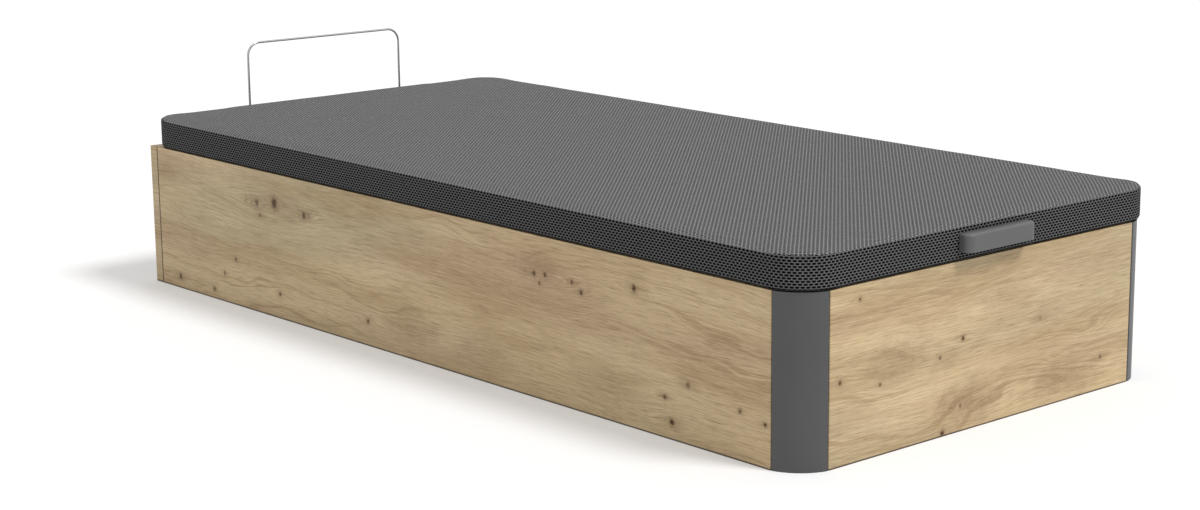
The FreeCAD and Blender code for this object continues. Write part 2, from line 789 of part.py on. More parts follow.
def stop_wire():
    """The round wire loop that keeps the mattress from sliding off at the head end."""
    half = stop_width / 2
    y = lid_y + running_gap + stop_wire_radius
    z0 = lid_bottom + stop_leg_rise
    z1 = stop_top - stop_wire_radius
    bend = stop_bend_radius
    mid = bend * (1 - 1 / math.sqrt(2))
    left = Vec(-half, y, z1 - bend)
    right = Vec(half, y, z1 - bend)
    top_left = Vec(-half + bend, y, z1)
    top_right = Vec(half - bend, y, z1)
    edges = [
        Part.LineSegment(Vec(-half, y, z0), left).toShape(),
        Part.Arc(left, Vec(-half + mid, y, z1 - mid), top_left).toShape(),
        Part.LineSegment(top_left, top_right).toShape(),
        Part.Arc(top_right, Vec(half - mid, y, z1 - mid), right).toShape(),
        Part.LineSegment(right, Vec(half, y, z0)).toShape(),
    ]
    section = Part.Wire([Part.makeCircle(stop_wire_radius, Vec(-half, y, z0), DIR_Z)])
    return Part.Wire(edges).makePipeShell([section], True, True)


def stop_clip():
    """The right saddle clip over the wire's leg, with one ear at each side."""
    x = stop_width / 2
    y_face = lid_y
    y_wire = lid_y + running_gap + stop_wire_radius
    z0 = lid_bottom + clip_rise
    z1 = z0 + clip_height
    half = clip_width / 2
    inner = stop_wire_radius + running_gap
    outer = inner + clip_thickness
    ears = box(x - half, x + half, y_face, y_face + clip_thickness, z0, z1)
    saddle = Part.makeCylinder(outer, clip_height, Vec(x, y_wire, z0), DIR_Z)
    saddle = saddle.common(box(x - outer, x + outer, y_wire, y_wire + outer, z0, z1))
    walls = box(x - outer, x + outer, y_face, y_wire, z0, z1)
    whole = ears.fuse([saddle, walls]).removeSplitter()
    below = z0 - cut_overrun
    tunnel = Part.makeCylinder(inner, clip_height + 2 * cut_overrun, Vec(x, y_wire, below), DIR_Z)
    slot = box(x - inner, x + inner, y_face - cut_overrun, y_wire, below, z1 + cut_overrun)
    return whole.cut(tunnel.fuse(slot))


def stop_clip_screws():
    """The screws of the right saddle clip."""
    x = stop_width / 2
    y = lid_y + clip_thickness + screw_head_height
    z = lid_bottom + clip_rise + clip_height / 2
    reach = (clip_width / 2 + stop_wire_radius + clip_thickness) / 2
    return [screw(Vec(x + sign * reach, y, z), -DIR_Y, screw_length) for sign in (-1, 1)]


def wood_screws(x, places):
    """Screws that run outwards along X from the face of a plate."""
    return [screw(Vec(x, place[0], place[1]), DIR_X, screw_length) for place in places]


def plate_screws():
    """The screws of the right fixed plate."""
    return wood_screws(fixed_plate_x, fixed_plate_screws_at())


def strut_plate_screws():
    """The screws of the right strut bracket."""
    return wood_screws(fixed_plate_x, strut_plate_screws_at())


def bracket_screws():
    """The screws of the right lid bracket."""
    return wood_screws(flange_inner_x, bracket_screws_at())


def both_sides(solids):
    """The solids of the right side and their mirror images."""
    return solids + [mirrored(s) for s in solids]


def group(solids):
    """Like pieces that share one node, as separate solids."""
    return Part.makeCompound(solids)


nodes = {
    "side_panel_right": side_panel(),
    "side_panel_left": mirrored(side_panel()),
    "foot_panel": foot_panel(),
    "head_panel": head_panel(),
    "corner_profile_right": corner_profile(),
    "corner_profile_left": mirrored(corner_profile()),
    "floor_board_head": floor_board(True),
    "floor_board_foot": floor_board(False),
    "centre_floor_rail": centre_rail(),
    "side_ledge_right": side_ledge(),
    "side_ledge_left": mirrored(side_ledge()),
    "foot_ledge": foot_ledge(),
    "head_ledge": head_ledge(),
    "head_angle_right": head_angle(),
    "head_angle_left": mirrored(head_angle()),
    "head_angle_screws": group(both_sides(head_angle_screws())),
    "profile_screws": group(both_sides(profile_screws())),
    "ledge_screws": group(both_sides(ledge_screws())),
    "lid_bumpers": group(bumpers()),
    "fixed_plate_right": fixed_plate(),
    "fixed_plate_left": mirrored(fixed_plate()),
    "fixed_plate_screws": group(both_sides(plate_screws())),
    "fixed_pivot_pins": group(both_sides(fixed_pins())),
    "strut_bracket_right": strut_plate(),
    "strut_bracket_left": mirrored(strut_plate()),
    "strut_bracket_screws": group(both_sides(strut_plate_screws())),
    "main_arm_right": main_arm(),
    "main_arm_left": mirrored(main_arm()),
    "rear_link_right": rear_link(),
    "rear_link_left": mirrored(rear_link()),
    "strut_cylinder_right": strut_cylinder(),
    "strut_cylinder_left": mirrored(strut_cylinder()),
    "strut_rod_right": strut_rod(),
    "strut_rod_left": mirrored(strut_rod()),
    "strut_top_studs": group(both_sides([strut_top_stud()])),
    "lid_side_rail_right": lid_side_rail(),
    "lid_side_rail_left": mirrored(lid_side_rail()),
    "lid_foot_rail": lid_end_rail(-1),
    "lid_head_rail": lid_end_rail(1),
    "lid_corner_head_right": lid_corner(1, 1),
    "lid_corner_head_left": lid_corner(-1, 1),
    "lid_corner_foot_left": lid_corner(-1, -1),
    "lid_corner_foot_right": lid_corner(1, -1),
    "lid_board": rounded_slab(frame_x, frame_y, frame_radius, rail_top, board_top),
    "lid_foam": rounded_slab(frame_x, frame_y, frame_radius, board_top, board_top + foam_thickness),
    "lid_cover": lid_cover(),
    "lid_bracket_right": lid_bracket(),
    "lid_bracket_left": mirrored(lid_bracket()),
    "lid_bracket_screws": group(both_sides(bracket_screws())),
    "lid_pivot_pins": group(both_sides(lid_pins())),
    "handle": handle(),
    "handle_screws": group(handle_screws()),
    "mattress_stop": stop_wire(),
    "stop_clips": group(both_sides([stop_clip()])),
    "stop_clip_screws": group(both_sides(stop_clip_screws())),
}
for number, place_share in enumerate(cross_rail_shares):
    nodes["lid_cross_rail_%d" % (number + 1)] = cross_rail(place_share)

os.makedirs("parts", exist_ok=True)
for name, shape in nodes.items():
    shape.exportStep("parts/%s.step" % name)
print(len(nodes), "nodes")
for name, shape in nodes.items():
    if not shape.isValid() or shape.Volume <= 0 or not shape.Solids:
        print("check", name, shape.isValid(), shape.Volume, len(shape.Solids))
print("strut closed length", math.hypot(strut_head[0] - strut_foot[0], strut_head[1] - strut_foot[1]))
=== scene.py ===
# %% [markdown]
# # A storage bed base
# The object is a board box with rounded grey foot corners. A padded lid, covered in a dark spacer mesh,
# lifts from the foot end on a pair of link mechanisms. The boards, links, struts and rails come ready
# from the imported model, each at its real size. This lesson gives them their finishes, and makes anew
# what a solid model can't show: the stretched fabric cover, its staples and the small hardware marks.

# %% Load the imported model
import math

import bpy
import bmesh
from mathutils import Matrix, Vector


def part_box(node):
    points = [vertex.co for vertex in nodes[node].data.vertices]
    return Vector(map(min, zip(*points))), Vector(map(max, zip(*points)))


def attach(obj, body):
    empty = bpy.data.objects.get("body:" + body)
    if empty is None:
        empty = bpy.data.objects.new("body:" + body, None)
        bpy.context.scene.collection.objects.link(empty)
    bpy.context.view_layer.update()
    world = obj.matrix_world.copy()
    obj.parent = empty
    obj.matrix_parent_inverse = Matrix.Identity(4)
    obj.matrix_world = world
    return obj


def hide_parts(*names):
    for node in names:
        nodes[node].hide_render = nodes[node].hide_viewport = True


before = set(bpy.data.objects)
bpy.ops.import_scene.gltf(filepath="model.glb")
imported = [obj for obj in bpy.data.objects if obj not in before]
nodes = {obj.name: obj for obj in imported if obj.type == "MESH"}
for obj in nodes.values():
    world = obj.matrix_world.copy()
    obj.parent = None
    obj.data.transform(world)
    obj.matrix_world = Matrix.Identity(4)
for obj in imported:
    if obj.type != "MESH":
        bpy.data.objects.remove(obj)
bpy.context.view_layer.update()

scene = bpy.context.scene
scene.view_settings.view_transform = "Standard"
MM = 0.001

# %% [markdown]
# ## The camera
# The photograph shows the bed base from the foot end and from its left long side, from a little above.
# The camera's place and lens come from fitting a camera to the straight edges of the box and the lid.
# The lens is long, so the narrowing towards the far end stays mild.

# %% Place the camera
IMAGE_WIDTH = 1200
SENSOR_WIDTH = 36.0
FOCAL_PIXELS = 2366.75
CENTRE_PIXEL_X = 709.2
CAMERA_PLACE = Vector((-2.944, -3.380, 1.113))
CAMERA_YAW = math.radians(43.456)
CAMERA_PITCH = math.radians(12.291)


def add_object(name, data):
    """Puts data into the scene as a new object."""
    made = bpy.data.objects.new(name, data)
    scene.collection.objects.link(made)
    return made


camera_data = bpy.data.cameras.new("camera")
camera_data.sensor_width = SENSOR_WIDTH
camera_data.lens = FOCAL_PIXELS / IMAGE_WIDTH * SENSOR_WIDTH
camera_data.shift_x = (IMAGE_WIDTH / 2 - CENTRE_PIXEL_X) / IMAGE_WIDTH
camera = add_object("camera", camera_data)
camera.location = CAMERA_PLACE
camera.rotation_euler = (math.radians(90) - CAMERA_PITCH, 0, -CAMERA_YAW)
scene.camera = camera
print("lens", round(camera_data.lens, 2), "shift", round(camera_data.shift_x, 3))

# %% [markdown]
# ## Light
# The light is soft and comes from the front right, high up. The foot board is the brightest side, the
# long side lies in half shade, and a pale shadow spreads on the floor to the left. A sun with a wide
# disc gives that soft edge without growing darker with distance. An even sky fills the shaded sides.
# The sky is plain white only for rays from the camera, and for mirrors and glass.

# %% The sun
SUN_STRENGTH = 1.80
SUN_DISC = math.radians(17)
SUN_FROM = Vector((0.27, -0.65, 1.00))

sun_data = bpy.data.lights.new("sun", "SUN")
sun_data.energy = SUN_STRENGTH
sun_data.angle = SUN_DISC
sun = add_object("sun", sun_data)
sun.rotation_mode = "QUATERNION"
sun.rotation_quaternion = SUN_FROM.to_track_quat("Z", "Y")
print("sun", SUN_STRENGTH)

# %% The sky
SKY_STRENGTH = 0.62


def backdrop_rays(tree):
    """A value that is 1 for rays from the camera, a mirror or glass, and 0 for light on the object."""
    path = tree.nodes.new("ShaderNodeLightPath")
    found = path.outputs["Is Camera Ray"]
    for label in ("Is Glossy Ray", "Is Transmission Ray"):
        either = tree.nodes.new("ShaderNodeMath")
        either.operation = "MAXIMUM"
        tree.links.new(found, either.inputs[0])
        tree.links.new(path.outputs[label], either.inputs[1])
        found = either.outputs[0]
    return found


world = bpy.data.worlds.new("sky")
scene.world = world
world.use_nodes = True
sky_tree = world.node_tree
sky_tree.nodes.clear()
sky_out = sky_tree.nodes.new("ShaderNodeOutputWorld")
sky_light = sky_tree.nodes.new("ShaderNodeBackground")
sky_light.inputs["Strength"].default_value = SKY_STRENGTH
sky_white = sky_tree.nodes.new("ShaderNodeBackground")
for background in (sky_light, sky_white):
    background.inputs["Color"].default_value = (1, 1, 1, 1)
sky_mix = sky_tree.nodes.new("ShaderNodeMixShader")
sky_tree.links.new(backdrop_rays(sky_tree), sky_mix.inputs["Fac"])
sky_tree.links.new(sky_light.outputs[0], sky_mix.inputs[1])
sky_tree.links.new(sky_white.outputs[0], sky_mix.inputs[2])
sky_tree.links.new(sky_mix.outputs[0], sky_out.inputs["Surface"])
print("sky", SKY_STRENGTH)

# %% [markdown]
# ## Writing node trees as formulas
# Every finish here is a small net of nodes. Adding and linking nodes by hand takes many lines, so a
# helper turns the common nodes into functions: each takes numbers or the outputs of other nodes, and
# gives back an output. A shared effect is a node group, built once and placed in each material.

# %% A helper that builds nets


class Net:
    """Adds nodes to a tree. Each method returns the new node's output."""

    def __init__(self, tree):
        self.tree = tree

    def node(self, kind, **settings):
        made = self.tree.nodes.new("ShaderNode" + kind)
        for name, value in settings.items():
            setattr(made, name, value)
        return made

    def feed(self, socket, value):
        if isinstance(value, bpy.types.NodeSocket):
            self.tree.links.new(value, socket)
        else:
            socket.default_value = value

    def math(self, operation, *values):
        made = self.node("Math", operation=operation)
        for socket, value in zip(made.inputs, values):
            self.feed(socket, value)
        return made.outputs[0]

    def add(self, a, b):
        return self.math("ADD", a, b)

    def sub(self, a, b):
        return self.math("SUBTRACT", a, b)

    def times(self, a, b):
        return self.math("MULTIPLY", a, b)

    def square(self, a):
        return self.math("MULTIPLY", a, a)

    def soft(self, value, low, high):
        """0 below low and 1 above high, with a smooth step between. Low may be the larger one."""
        made = self.node("MapRange", interpolation_type="SMOOTHSTEP")
        self.feed(made.inputs["Value"], value)
        flip = low > high
        self.feed(made.inputs["From Min"], min(low, high))
        self.feed(made.inputs["From Max"], max(low, high))
        self.feed(made.inputs["To Min"], 1.0 if flip else 0.0)
        self.feed(made.inputs["To Max"], 0.0 if flip else 1.0)
        return made.outputs["Result"]

    def vector(self, x, y, z):
        made = self.node("CombineXYZ")
        for socket, value in zip(made.inputs, (x, y, z)):
            self.feed(socket, value)
        return made.outputs[0]

    def parts(self, vector):
        made = self.node("SeparateXYZ")
        self.feed(made.inputs[0], vector)
        return made.outputs

    def noise(self, vector, detail=2.0, roughness=0.5, scale=1.0):
        made = self.node("TexNoise")
        self.feed(made.inputs["Vector"], vector)
        self.feed(made.inputs["Scale"], scale)
        self.feed(made.inputs["Detail"], detail)
        self.feed(made.inputs["Roughness"], roughness)
        return made.outputs["Fac"]

    def choose(self, switch, chosen, other):
        """The chosen value where the switch is 1, and the other where it is 0."""
        return self.add(self.times(chosen, switch), self.times(other, self.sub(1.0, switch)))

    def mix(self, share, a, b):
        """One colour over another. The Mix node keeps its colour sockets seventh and eighth."""
        made = self.node("Mix", data_type="RGBA")
        self.feed(made.inputs[0], share)
        for socket, value in zip(made.inputs[6:8], (a, b)):
            self.feed(socket, (*value, 1.0) if isinstance(value, tuple) else value)
        return made.outputs[2]

    def bump(self, height, distance, strength=1.0):
        made = self.node("Bump")
        self.feed(made.inputs["Height"], height)
        made.inputs["Distance"].default_value = distance
        made.inputs["Strength"].default_value = strength
        return made.outputs["Normal"]

    def group(self, tree, **values):
        made = self.node("Group")
        made.node_tree = tree
        for name, value in values.items():
            self.feed(made.inputs[name], value)
        return made.outputs


print("net helper ready")

# %% Helpers for groups, materials and finished nodes


def new_group(name, inputs, outputs):
    """A node group with named float inputs. Outputs are given as name and kind."""
    tree = bpy.data.node_groups.new(name, "ShaderNodeTree")
    for label, default in inputs.items():
        socket = tree.interface.new_socket(label, in_out="INPUT", socket_type="NodeSocketFloat")
        socket.default_value = default
    for label, kind in outputs.items():
        tree.interface.new_socket(label, in_out="OUTPUT", socket_type="NodeSocket" + kind)
    net = Net(tree)
    source = tree.nodes.new("NodeGroupInput")
    target = tree.nodes.new("NodeGroupOutput")
    return tree, net, source.outputs, target.inputs


def new_material(name, color=(0.5, 0.5, 0.5), roughness=0.5, **constants):
    """A material with its Principled shader, its net, and the object's own coordinates."""
    material = bpy.data.materials.new(name)
    material.use_nodes = True
    shader = material.node_tree.nodes["Principled BSDF"]
    shader.inputs["Base Color"].default_value = (*color, 1.0)
    shader.inputs["Roughness"].default_value = roughness
    for label, value in constants.items():
        shader.inputs[label.replace("_", " ")].default_value = value
    net = Net(material.node_tree)
    place = net.node("TexCoord").outputs["Object"]
    return material, net, shader.inputs, place


def dress(material, *names):
    """Gives a material to carried-over nodes."""
    for name in names:
        slots = nodes[name].data.materials
        slots.clear()
        slots.append(material)


print("helpers ready")

# %% [markdown]
# ## The floor
# The floor is a plain pale surface that only has to show the soft shadow. It gives back a little light
# of its own, but only to rays from the camera, a mirror or glass. So it comes out white where nothing
# shades it, and its glow puts no light on the object.

# %% Floor
FLOOR_SIZE = 60.0
FLOOR_COLOR = (0.80, 0.80, 0.80)
FLOOR_GLOW = 0.20

floor_mesh = bpy.data.meshes.new("floor")
half = FLOOR_SIZE / 2
floor_mesh.from_pydata([(-half, -half, 0), (half, -half, 0), (half, half, 0), (-half, half, 0)],
                       [], [(0, 1, 2, 3)])
floor = add_object("floor", floor_mesh)
floor_material, net, shader, place = new_material("floor", FLOOR_COLOR, 0.9, Specular_IOR_Level=0.0)
shader["Emission Color"].default_value = (1, 1, 1, 1)
net.feed(shader["Emission Strength"], net.times(backdrop_rays(net.tree), FLOOR_GLOW))
floor_mesh.materials.append(floor_material)
print("floor", FLOOR_SIZE, "m wide")

# %% [markdown]
# ## Oak-look boards
# The boards are faced with a printed foil: light natural oak, with the grain along the board, soft tone
# bands from pinkish to greenish, fine fibres, short dark pores and a few knots that the grain flows
# round. A picture of wood would repeat and couldn't be bent, so all of it comes from stretched noise.
# One coordinate runs along the board and one across, in metres, so that the same group serves a long
# board and a short one.
#
# A knot leaves four marks: a dark core, a narrow rim, a wide brown stain, and the grain that parts
# round it. Each mark fades out over a distance that is counted in knot sizes.

# %% The knot group
# Each mark: how much the distance along the grain counts, and the distances where it ends and is full.
CORE_MARK = (1.15, 1.15, 0.50)
STAIN_MARK = (0.42, 3.3, 0.0)
RIM_MARK = (0.85, 2.4, 0.9)
BEND_MARK = (0.30, 6.5, 0.0)
STAIN_BEND = 0.5

knot_group, net, given, result = new_group(
    "knot",
    {"Along": 0.0, "Across": 0.0, "Place Along": 0.0, "Place Across": 0.0, "Size": 0.01,
     "Core": 1.0, "Halo": 0.6, "Ragged": 0.0, "Drifting": 0.0},
    {"Core": "Float", "Halo": "Float", "Bend": "Float"})
off_along = net.sub(given["Along"], given["Place Along"])
off_across = net.sub(given["Across"], given["Place Across"])


def mark_of(shape, unevenness=0.0):
    """How strongly a mark shows: 0 outside its end and 1 where it is full."""
    along_count, end, full = shape
    along_part = net.square(net.times(off_along, along_count))
    distance = net.math("SQRT", net.add(along_part, net.square(off_across)))
    return net.soft(net.add(net.math("DIVIDE", distance, given["Size"]), unevenness), end, full)


core = net.times(mark_of(CORE_MARK, given["Ragged"]), given["Core"])
rim = net.times(mark_of(RIM_MARK, given["Ragged"]), given["Core"])
stain = net.times(mark_of(STAIN_MARK, given["Drifting"]), given["Halo"])
net.feed(result["Core"], core)
net.feed(result["Halo"], net.math("MAXIMUM", stain, rim))
sided = net.math("TANH", net.math("DIVIDE", off_across, given["Size"]))
bend = net.times(net.times(sided, mark_of(BEND_MARK)), given["Size"])
parted = net.math("MAXIMUM", given["Core"], net.times(given["Halo"], STAIN_BEND))
net.feed(result["Bend"], net.times(bend, parted))
print("knot group", len(knot_group.nodes), "nodes")

# %% The oak foil group
# Each noise: its cells per metre along and across the grain, its shift from the seed, its detail and
# its roughness.
GRAIN_NOISES = {
    "swell": (2.6, 9.0, 71.0, 2.0, 0.50),
    "figure": (1.3, 8.0, 43.0, 2.0, 0.50),
    "tone": (1.1, 7.0, 31.0, 2.0, 0.50),
    "warmth": (0.9, 5.0, 57.0, 1.0, 0.50),
    "clouds": (2.4, 13.0, 87.0, 2.0, 0.50),
    "streaks": (3.0, 150.0, 5.0, 3.0, 0.65),
    "fibres": (15.0, 620.0, 13.0, 3.0, 0.70),
    "hairs": (26.0, 1300.0, 23.0, 2.0, 0.60),
    "pores": (48.0, 560.0, 11.0, 1.0, 0.50),
}
KNOT_PUSH = -0.9
SWAY_WIDTH = 0.060
LINES_PER_METRE = 120.0
LINES_PER_SWELL = 17.0
LINE_CHANGES = 0.7
FIGURE_FADE, FIGURE_LEAST = (0.44, 0.62), 0.20

oak_group, net, given, result = new_group(
    "oak_foil",
    {"Along": 0.0, "Across": 0.0, "Seed": 0.0, "Bend": 0.0, "Core": 0.0, "Halo": 0.0},
    {"Color": "Color", "Roughness": "Float", "Height": "Float"})
along, across, seed = given["Along"], given["Across"], given["Seed"]


def plain_noise(per_metre_along, per_metre_across, detail, roughness=0.5):
    """Noise on the straight coordinates of the board."""
    spot = net.vector(net.times(along, per_metre_along), net.times(across, per_metre_across), seed)
    return net.noise(spot, detail=detail, roughness=roughness)


def grain_noise(per_metre_along, per_metre_across, shift, detail, roughness):
    """Noise stretched along the grain, in the bent coordinate."""
    spot = net.vector(net.times(along, per_metre_along), net.times(bent, per_metre_across),
                      net.add(seed, shift))
    return net.noise(spot, detail=detail, roughness=roughness)


sway = net.times(net.sub(plain_noise(1.6, 5.0, 2.0), 0.5), SWAY_WIDTH)
bent = net.add(net.add(across, net.times(given["Bend"], KNOT_PUSH)), sway)
grain = {name: grain_noise(*numbers) for name, numbers in GRAIN_NOISES.items()}
field = net.add(net.times(bent, LINES_PER_METRE), net.times(grain["swell"], LINES_PER_SWELL))
line_spot = net.vector(field, net.times(along, LINE_CHANGES), seed)
grain["lines"] = net.noise(line_spot, detail=2.5, roughness=0.62)
figured = net.times(net.soft(grain["figure"], *FIGURE_FADE), 1.0 - FIGURE_LEAST)
figured = net.math("MAXIMUM", net.add(figured, FIGURE_LEAST), given["Halo"])
burl = plain_noise(150.0, 230.0, 3.0, 0.7)
print("grain noises", len(grain))

# %% Lay the tones over one another
LIGHT_OAK = (0.640, 0.485, 0.283)
PALE_OAK = (0.800, 0.640, 0.405)
DEEP_OAK = (0.385, 0.262, 0.135)
BROWN_OAK = (0.430, 0.292, 0.148)
PINK_OAK = (0.520, 0.362, 0.222)
GREEN_OAK = (0.470, 0.390, 0.232)
PORE_BROWN = (0.205, 0.122, 0.060)
KNOT_BROWN = (0.078, 0.036, 0.010)
KNOT_RIM = (0.270, 0.160, 0.080)
PORE_FADE, PORE_ON_LINES, PORE_SHARE = (0.66, 0.78), (0.42, 0.60), 0.60
BURL_FADE, BURL_SHARE = (0.50, 0.64), 0.35
STAIN_SHARE = 0.58
LEAST_ROUGHNESS, ROUGHNESS_OF_LINES = 0.42, 0.12
# Each layer: its noise, the levels of the noise where it begins and is full, its share and its colour.
# The lines show less where the wood has little figure.
OAK_LAYERS = (
    ("tone", 0.44, 0.64, 0.75, PINK_OAK),
    ("warmth", 0.46, 0.66, 0.75, GREEN_OAK),
    ("clouds", 0.48, 0.66, 0.52, BROWN_OAK),
    ("clouds", 0.47, 0.32, 0.32, PALE_OAK),
    ("streaks", 0.49, 0.68, 0.24, DEEP_OAK),
    ("streaks", 0.46, 0.32, 0.20, PALE_OAK),
    ("lines", 0.52, 0.61, 0.62, DEEP_OAK),
    ("fibres", 0.50, 0.68, 0.50, PORE_BROWN),
    ("fibres", 0.48, 0.32, 0.46, PALE_OAK),
    ("hairs", 0.50, 0.70, 0.42, PORE_BROWN),
)
wood = LIGHT_OAK
for name, start, full, share, layer_color in OAK_LAYERS:
    shows = net.soft(grain[name], start, full)
    if name == "lines":
        shows = net.times(shows, figured)
    wood = net.mix(net.times(shows, share), wood, layer_color)
pores = net.times(net.soft(grain["pores"], *PORE_FADE), net.soft(grain["lines"], *PORE_ON_LINES))
burled = net.times(net.soft(burl, *BURL_FADE), given["Halo"])
wood = net.mix(net.times(pores, PORE_SHARE), wood, PORE_BROWN)
wood = net.mix(net.times(given["Halo"], STAIN_SHARE), wood, KNOT_RIM)
wood = net.mix(net.times(burled, BURL_SHARE), wood, PORE_BROWN)
wood = net.mix(given["Core"], wood, KNOT_BROWN)
net.feed(result["Color"], wood)
net.feed(result["Height"], net.sub(net.times(grain["fibres"], 0.5), net.add(pores, given["Core"])))
roughness = net.add(net.times(grain["lines"], ROUGHNESS_OF_LINES), LEAST_ROUGHNESS)
net.feed(result["Roughness"], roughness)
print("oak foil group", len(oak_group.nodes), "nodes")

# %% [markdown]
# ### Knots in their places
# A knot draws the eye, so the large ones stand where the photograph shows them. Each is one use of the
# knot group, and the strongest of all of them goes into the oak group. The far long side and the head
# board get their own few knots.

# %% The knots of each board
# Each knot: its place along the board and above the floor in metres, its size, a share for its dark
# core and a share for the brown stain round it. A stain alone has no core.
KNOTS_LEFT_SIDE = (
    (0.489, 0.230, 0.0115, 1.0, 0.7), (0.550, 0.222, 0.0080, 0.8, 0.7),
    (0.541, 0.199, 0.0045, 0.7, 0.6), (0.387, 0.220, 0.0070, 0.9, 0.7),
    (0.440, 0.225, 0.0120, 0.0, 0.5), (-0.308, 0.221, 0.0060, 0.8, 0.8),
    (-0.337, 0.223, 0.0055, 0.8, 0.8), (-0.322, 0.230, 0.0130, 0.0, 0.7),
    (-0.322, 0.206, 0.0036, 0.8, 0.4), (-0.408, 0.222, 0.0042, 0.8, 0.5),
    (-0.432, 0.208, 0.0048, 0.9, 0.5), (-0.565, 0.238, 0.0062, 1.0, 0.7),
    (-0.694, 0.100, 0.0060, 0.6, 0.6), (-0.639, 0.069, 0.0042, 0.8, 0.5),
    (-0.814, 0.082, 0.0036, 0.9, 0.4), (-0.870, 0.071, 0.0034, 1.0, 0.4),
    (-0.656, 0.030, 0.0060, 1.0, 0.7), (0.850, 0.025, 0.0060, 0.9, 0.6),
    (0.635, 0.095, 0.0044, 0.8, 0.4), (0.679, 0.060, 0.0036, 0.8, 0.4),
    (0.720, 0.020, 0.0048, 0.8, 0.4), (0.185, 0.048, 0.0044, 0.9, 0.4),
    (0.480, 0.050, 0.0040, 0.9, 0.5), (0.050, 0.060, 0.0150, 0.0, 0.5),
    (-0.170, 0.060, 0.0130, 0.0, 0.4), (0.880, 0.240, 0.0120, 0.0, 0.5),
    (-0.500, 0.060, 0.0180, 0.0, 0.4),
)
KNOTS_FOOT = (
    (-0.067, 0.158, 0.0042, 1.0, 0.5), (-0.123, 0.135, 0.0042, 0.7, 0.7),
    (-0.358, 0.137, 0.0042, 0.9, 0.5), (0.302, 0.060, 0.0052, 0.6, 0.6),
    (0.178, 0.045, 0.0150, 0.0, 0.8), (-0.060, 0.050, 0.0170, 0.0, 0.9),
    (-0.070, 0.044, 0.0050, 0.6, 0.6), (-0.114, 0.006, 0.0052, 1.0, 0.5),
    (-0.315, 0.264, 0.0034, 0.8, 0.4), (-0.266, 0.117, 0.0030, 0.8, 0.4),
    (-0.230, 0.150, 0.0160, 0.0, 0.7), (0.050, 0.215, 0.0150, 0.0, 0.5),
    (0.132, 0.158, 0.0050, 0.3, 0.5), (0.230, 0.040, 0.0140, 0.0, 0.6),
    (-0.110, 0.130, 0.0100, 0.0, 0.5),
)
KNOTS_RIGHT_SIDE = (
    (-0.620, 0.190, 0.0095, 0.9, 0.7), (-0.545, 0.172, 0.0055, 0.8, 0.6),
    (0.080, 0.085, 0.0060, 0.9, 0.6), (0.420, 0.240, 0.0042, 0.9, 0.5),
    (0.700, 0.120, 0.0070, 0.8, 0.7), (-0.180, 0.235, 0.0036, 0.9, 0.5),
    (-0.300, 0.090, 0.0160, 0.0, 0.6), (0.300, 0.150, 0.0180, 0.0, 0.6),
)
KNOTS_HEAD = (
    (0.210, 0.180, 0.0080, 0.9, 0.7), (-0.150, 0.090, 0.0050, 0.8, 0.6),
    (-0.330, 0.225, 0.0036, 0.9, 0.5), (0.020, 0.130, 0.0160, 0.0, 0.6),
)
print("knots", len(KNOTS_LEFT_SIDE), len(KNOTS_FOOT), len(KNOTS_RIGHT_SIDE), len(KNOTS_HEAD))

# %% [markdown]
# Two edges of the boards carry painted shade: a near-black strip along the lower edge, where the boards
# stand on the floor, and a dark line at the joint where a long side meets the head board, where shade
# falls in the gap between the panels. Neither is thick enough to model, so each is a mask: one by the
# height above the floor, and one by the distance from the joint, which shows on the outer faces alone.

# %% The boards
# Painted shade along the boards' lower edge, where they stand on the floor.
CONTACT_SHADE = (0.030, 0.024, 0.019)
CONTACT_SHADE_FADE = (3.2 * MM, 2.0 * MM)
CONTACT_SHADE_SHARE = 0.85
# Painted shade in the gap where a long side meets the head board.
JOINT_SHADE = (0.085, 0.055, 0.030)
JOINT_SHADE_FADE = (2.4 * MM, 1.5 * MM)
JOINT_SHADE_SHARE = 0.80
BOX_HALF_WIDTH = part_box("side_panel_right")[1].x
OUTER_FACE = (BOX_HALF_WIDTH - 1.2 * MM, BOX_HALF_WIDTH - 0.8 * MM)
HEAD_JOINT = (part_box("side_panel_left")[1].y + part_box("head_panel")[0].y) / 2
RAGGED_SCALE, RAGGED_SPREAD = 260.0, 2.1
DRIFTING_SCALE, DRIFTING_SPREAD = 38.0, 2.2
FOIL_RELIEF = 0.25 * MM


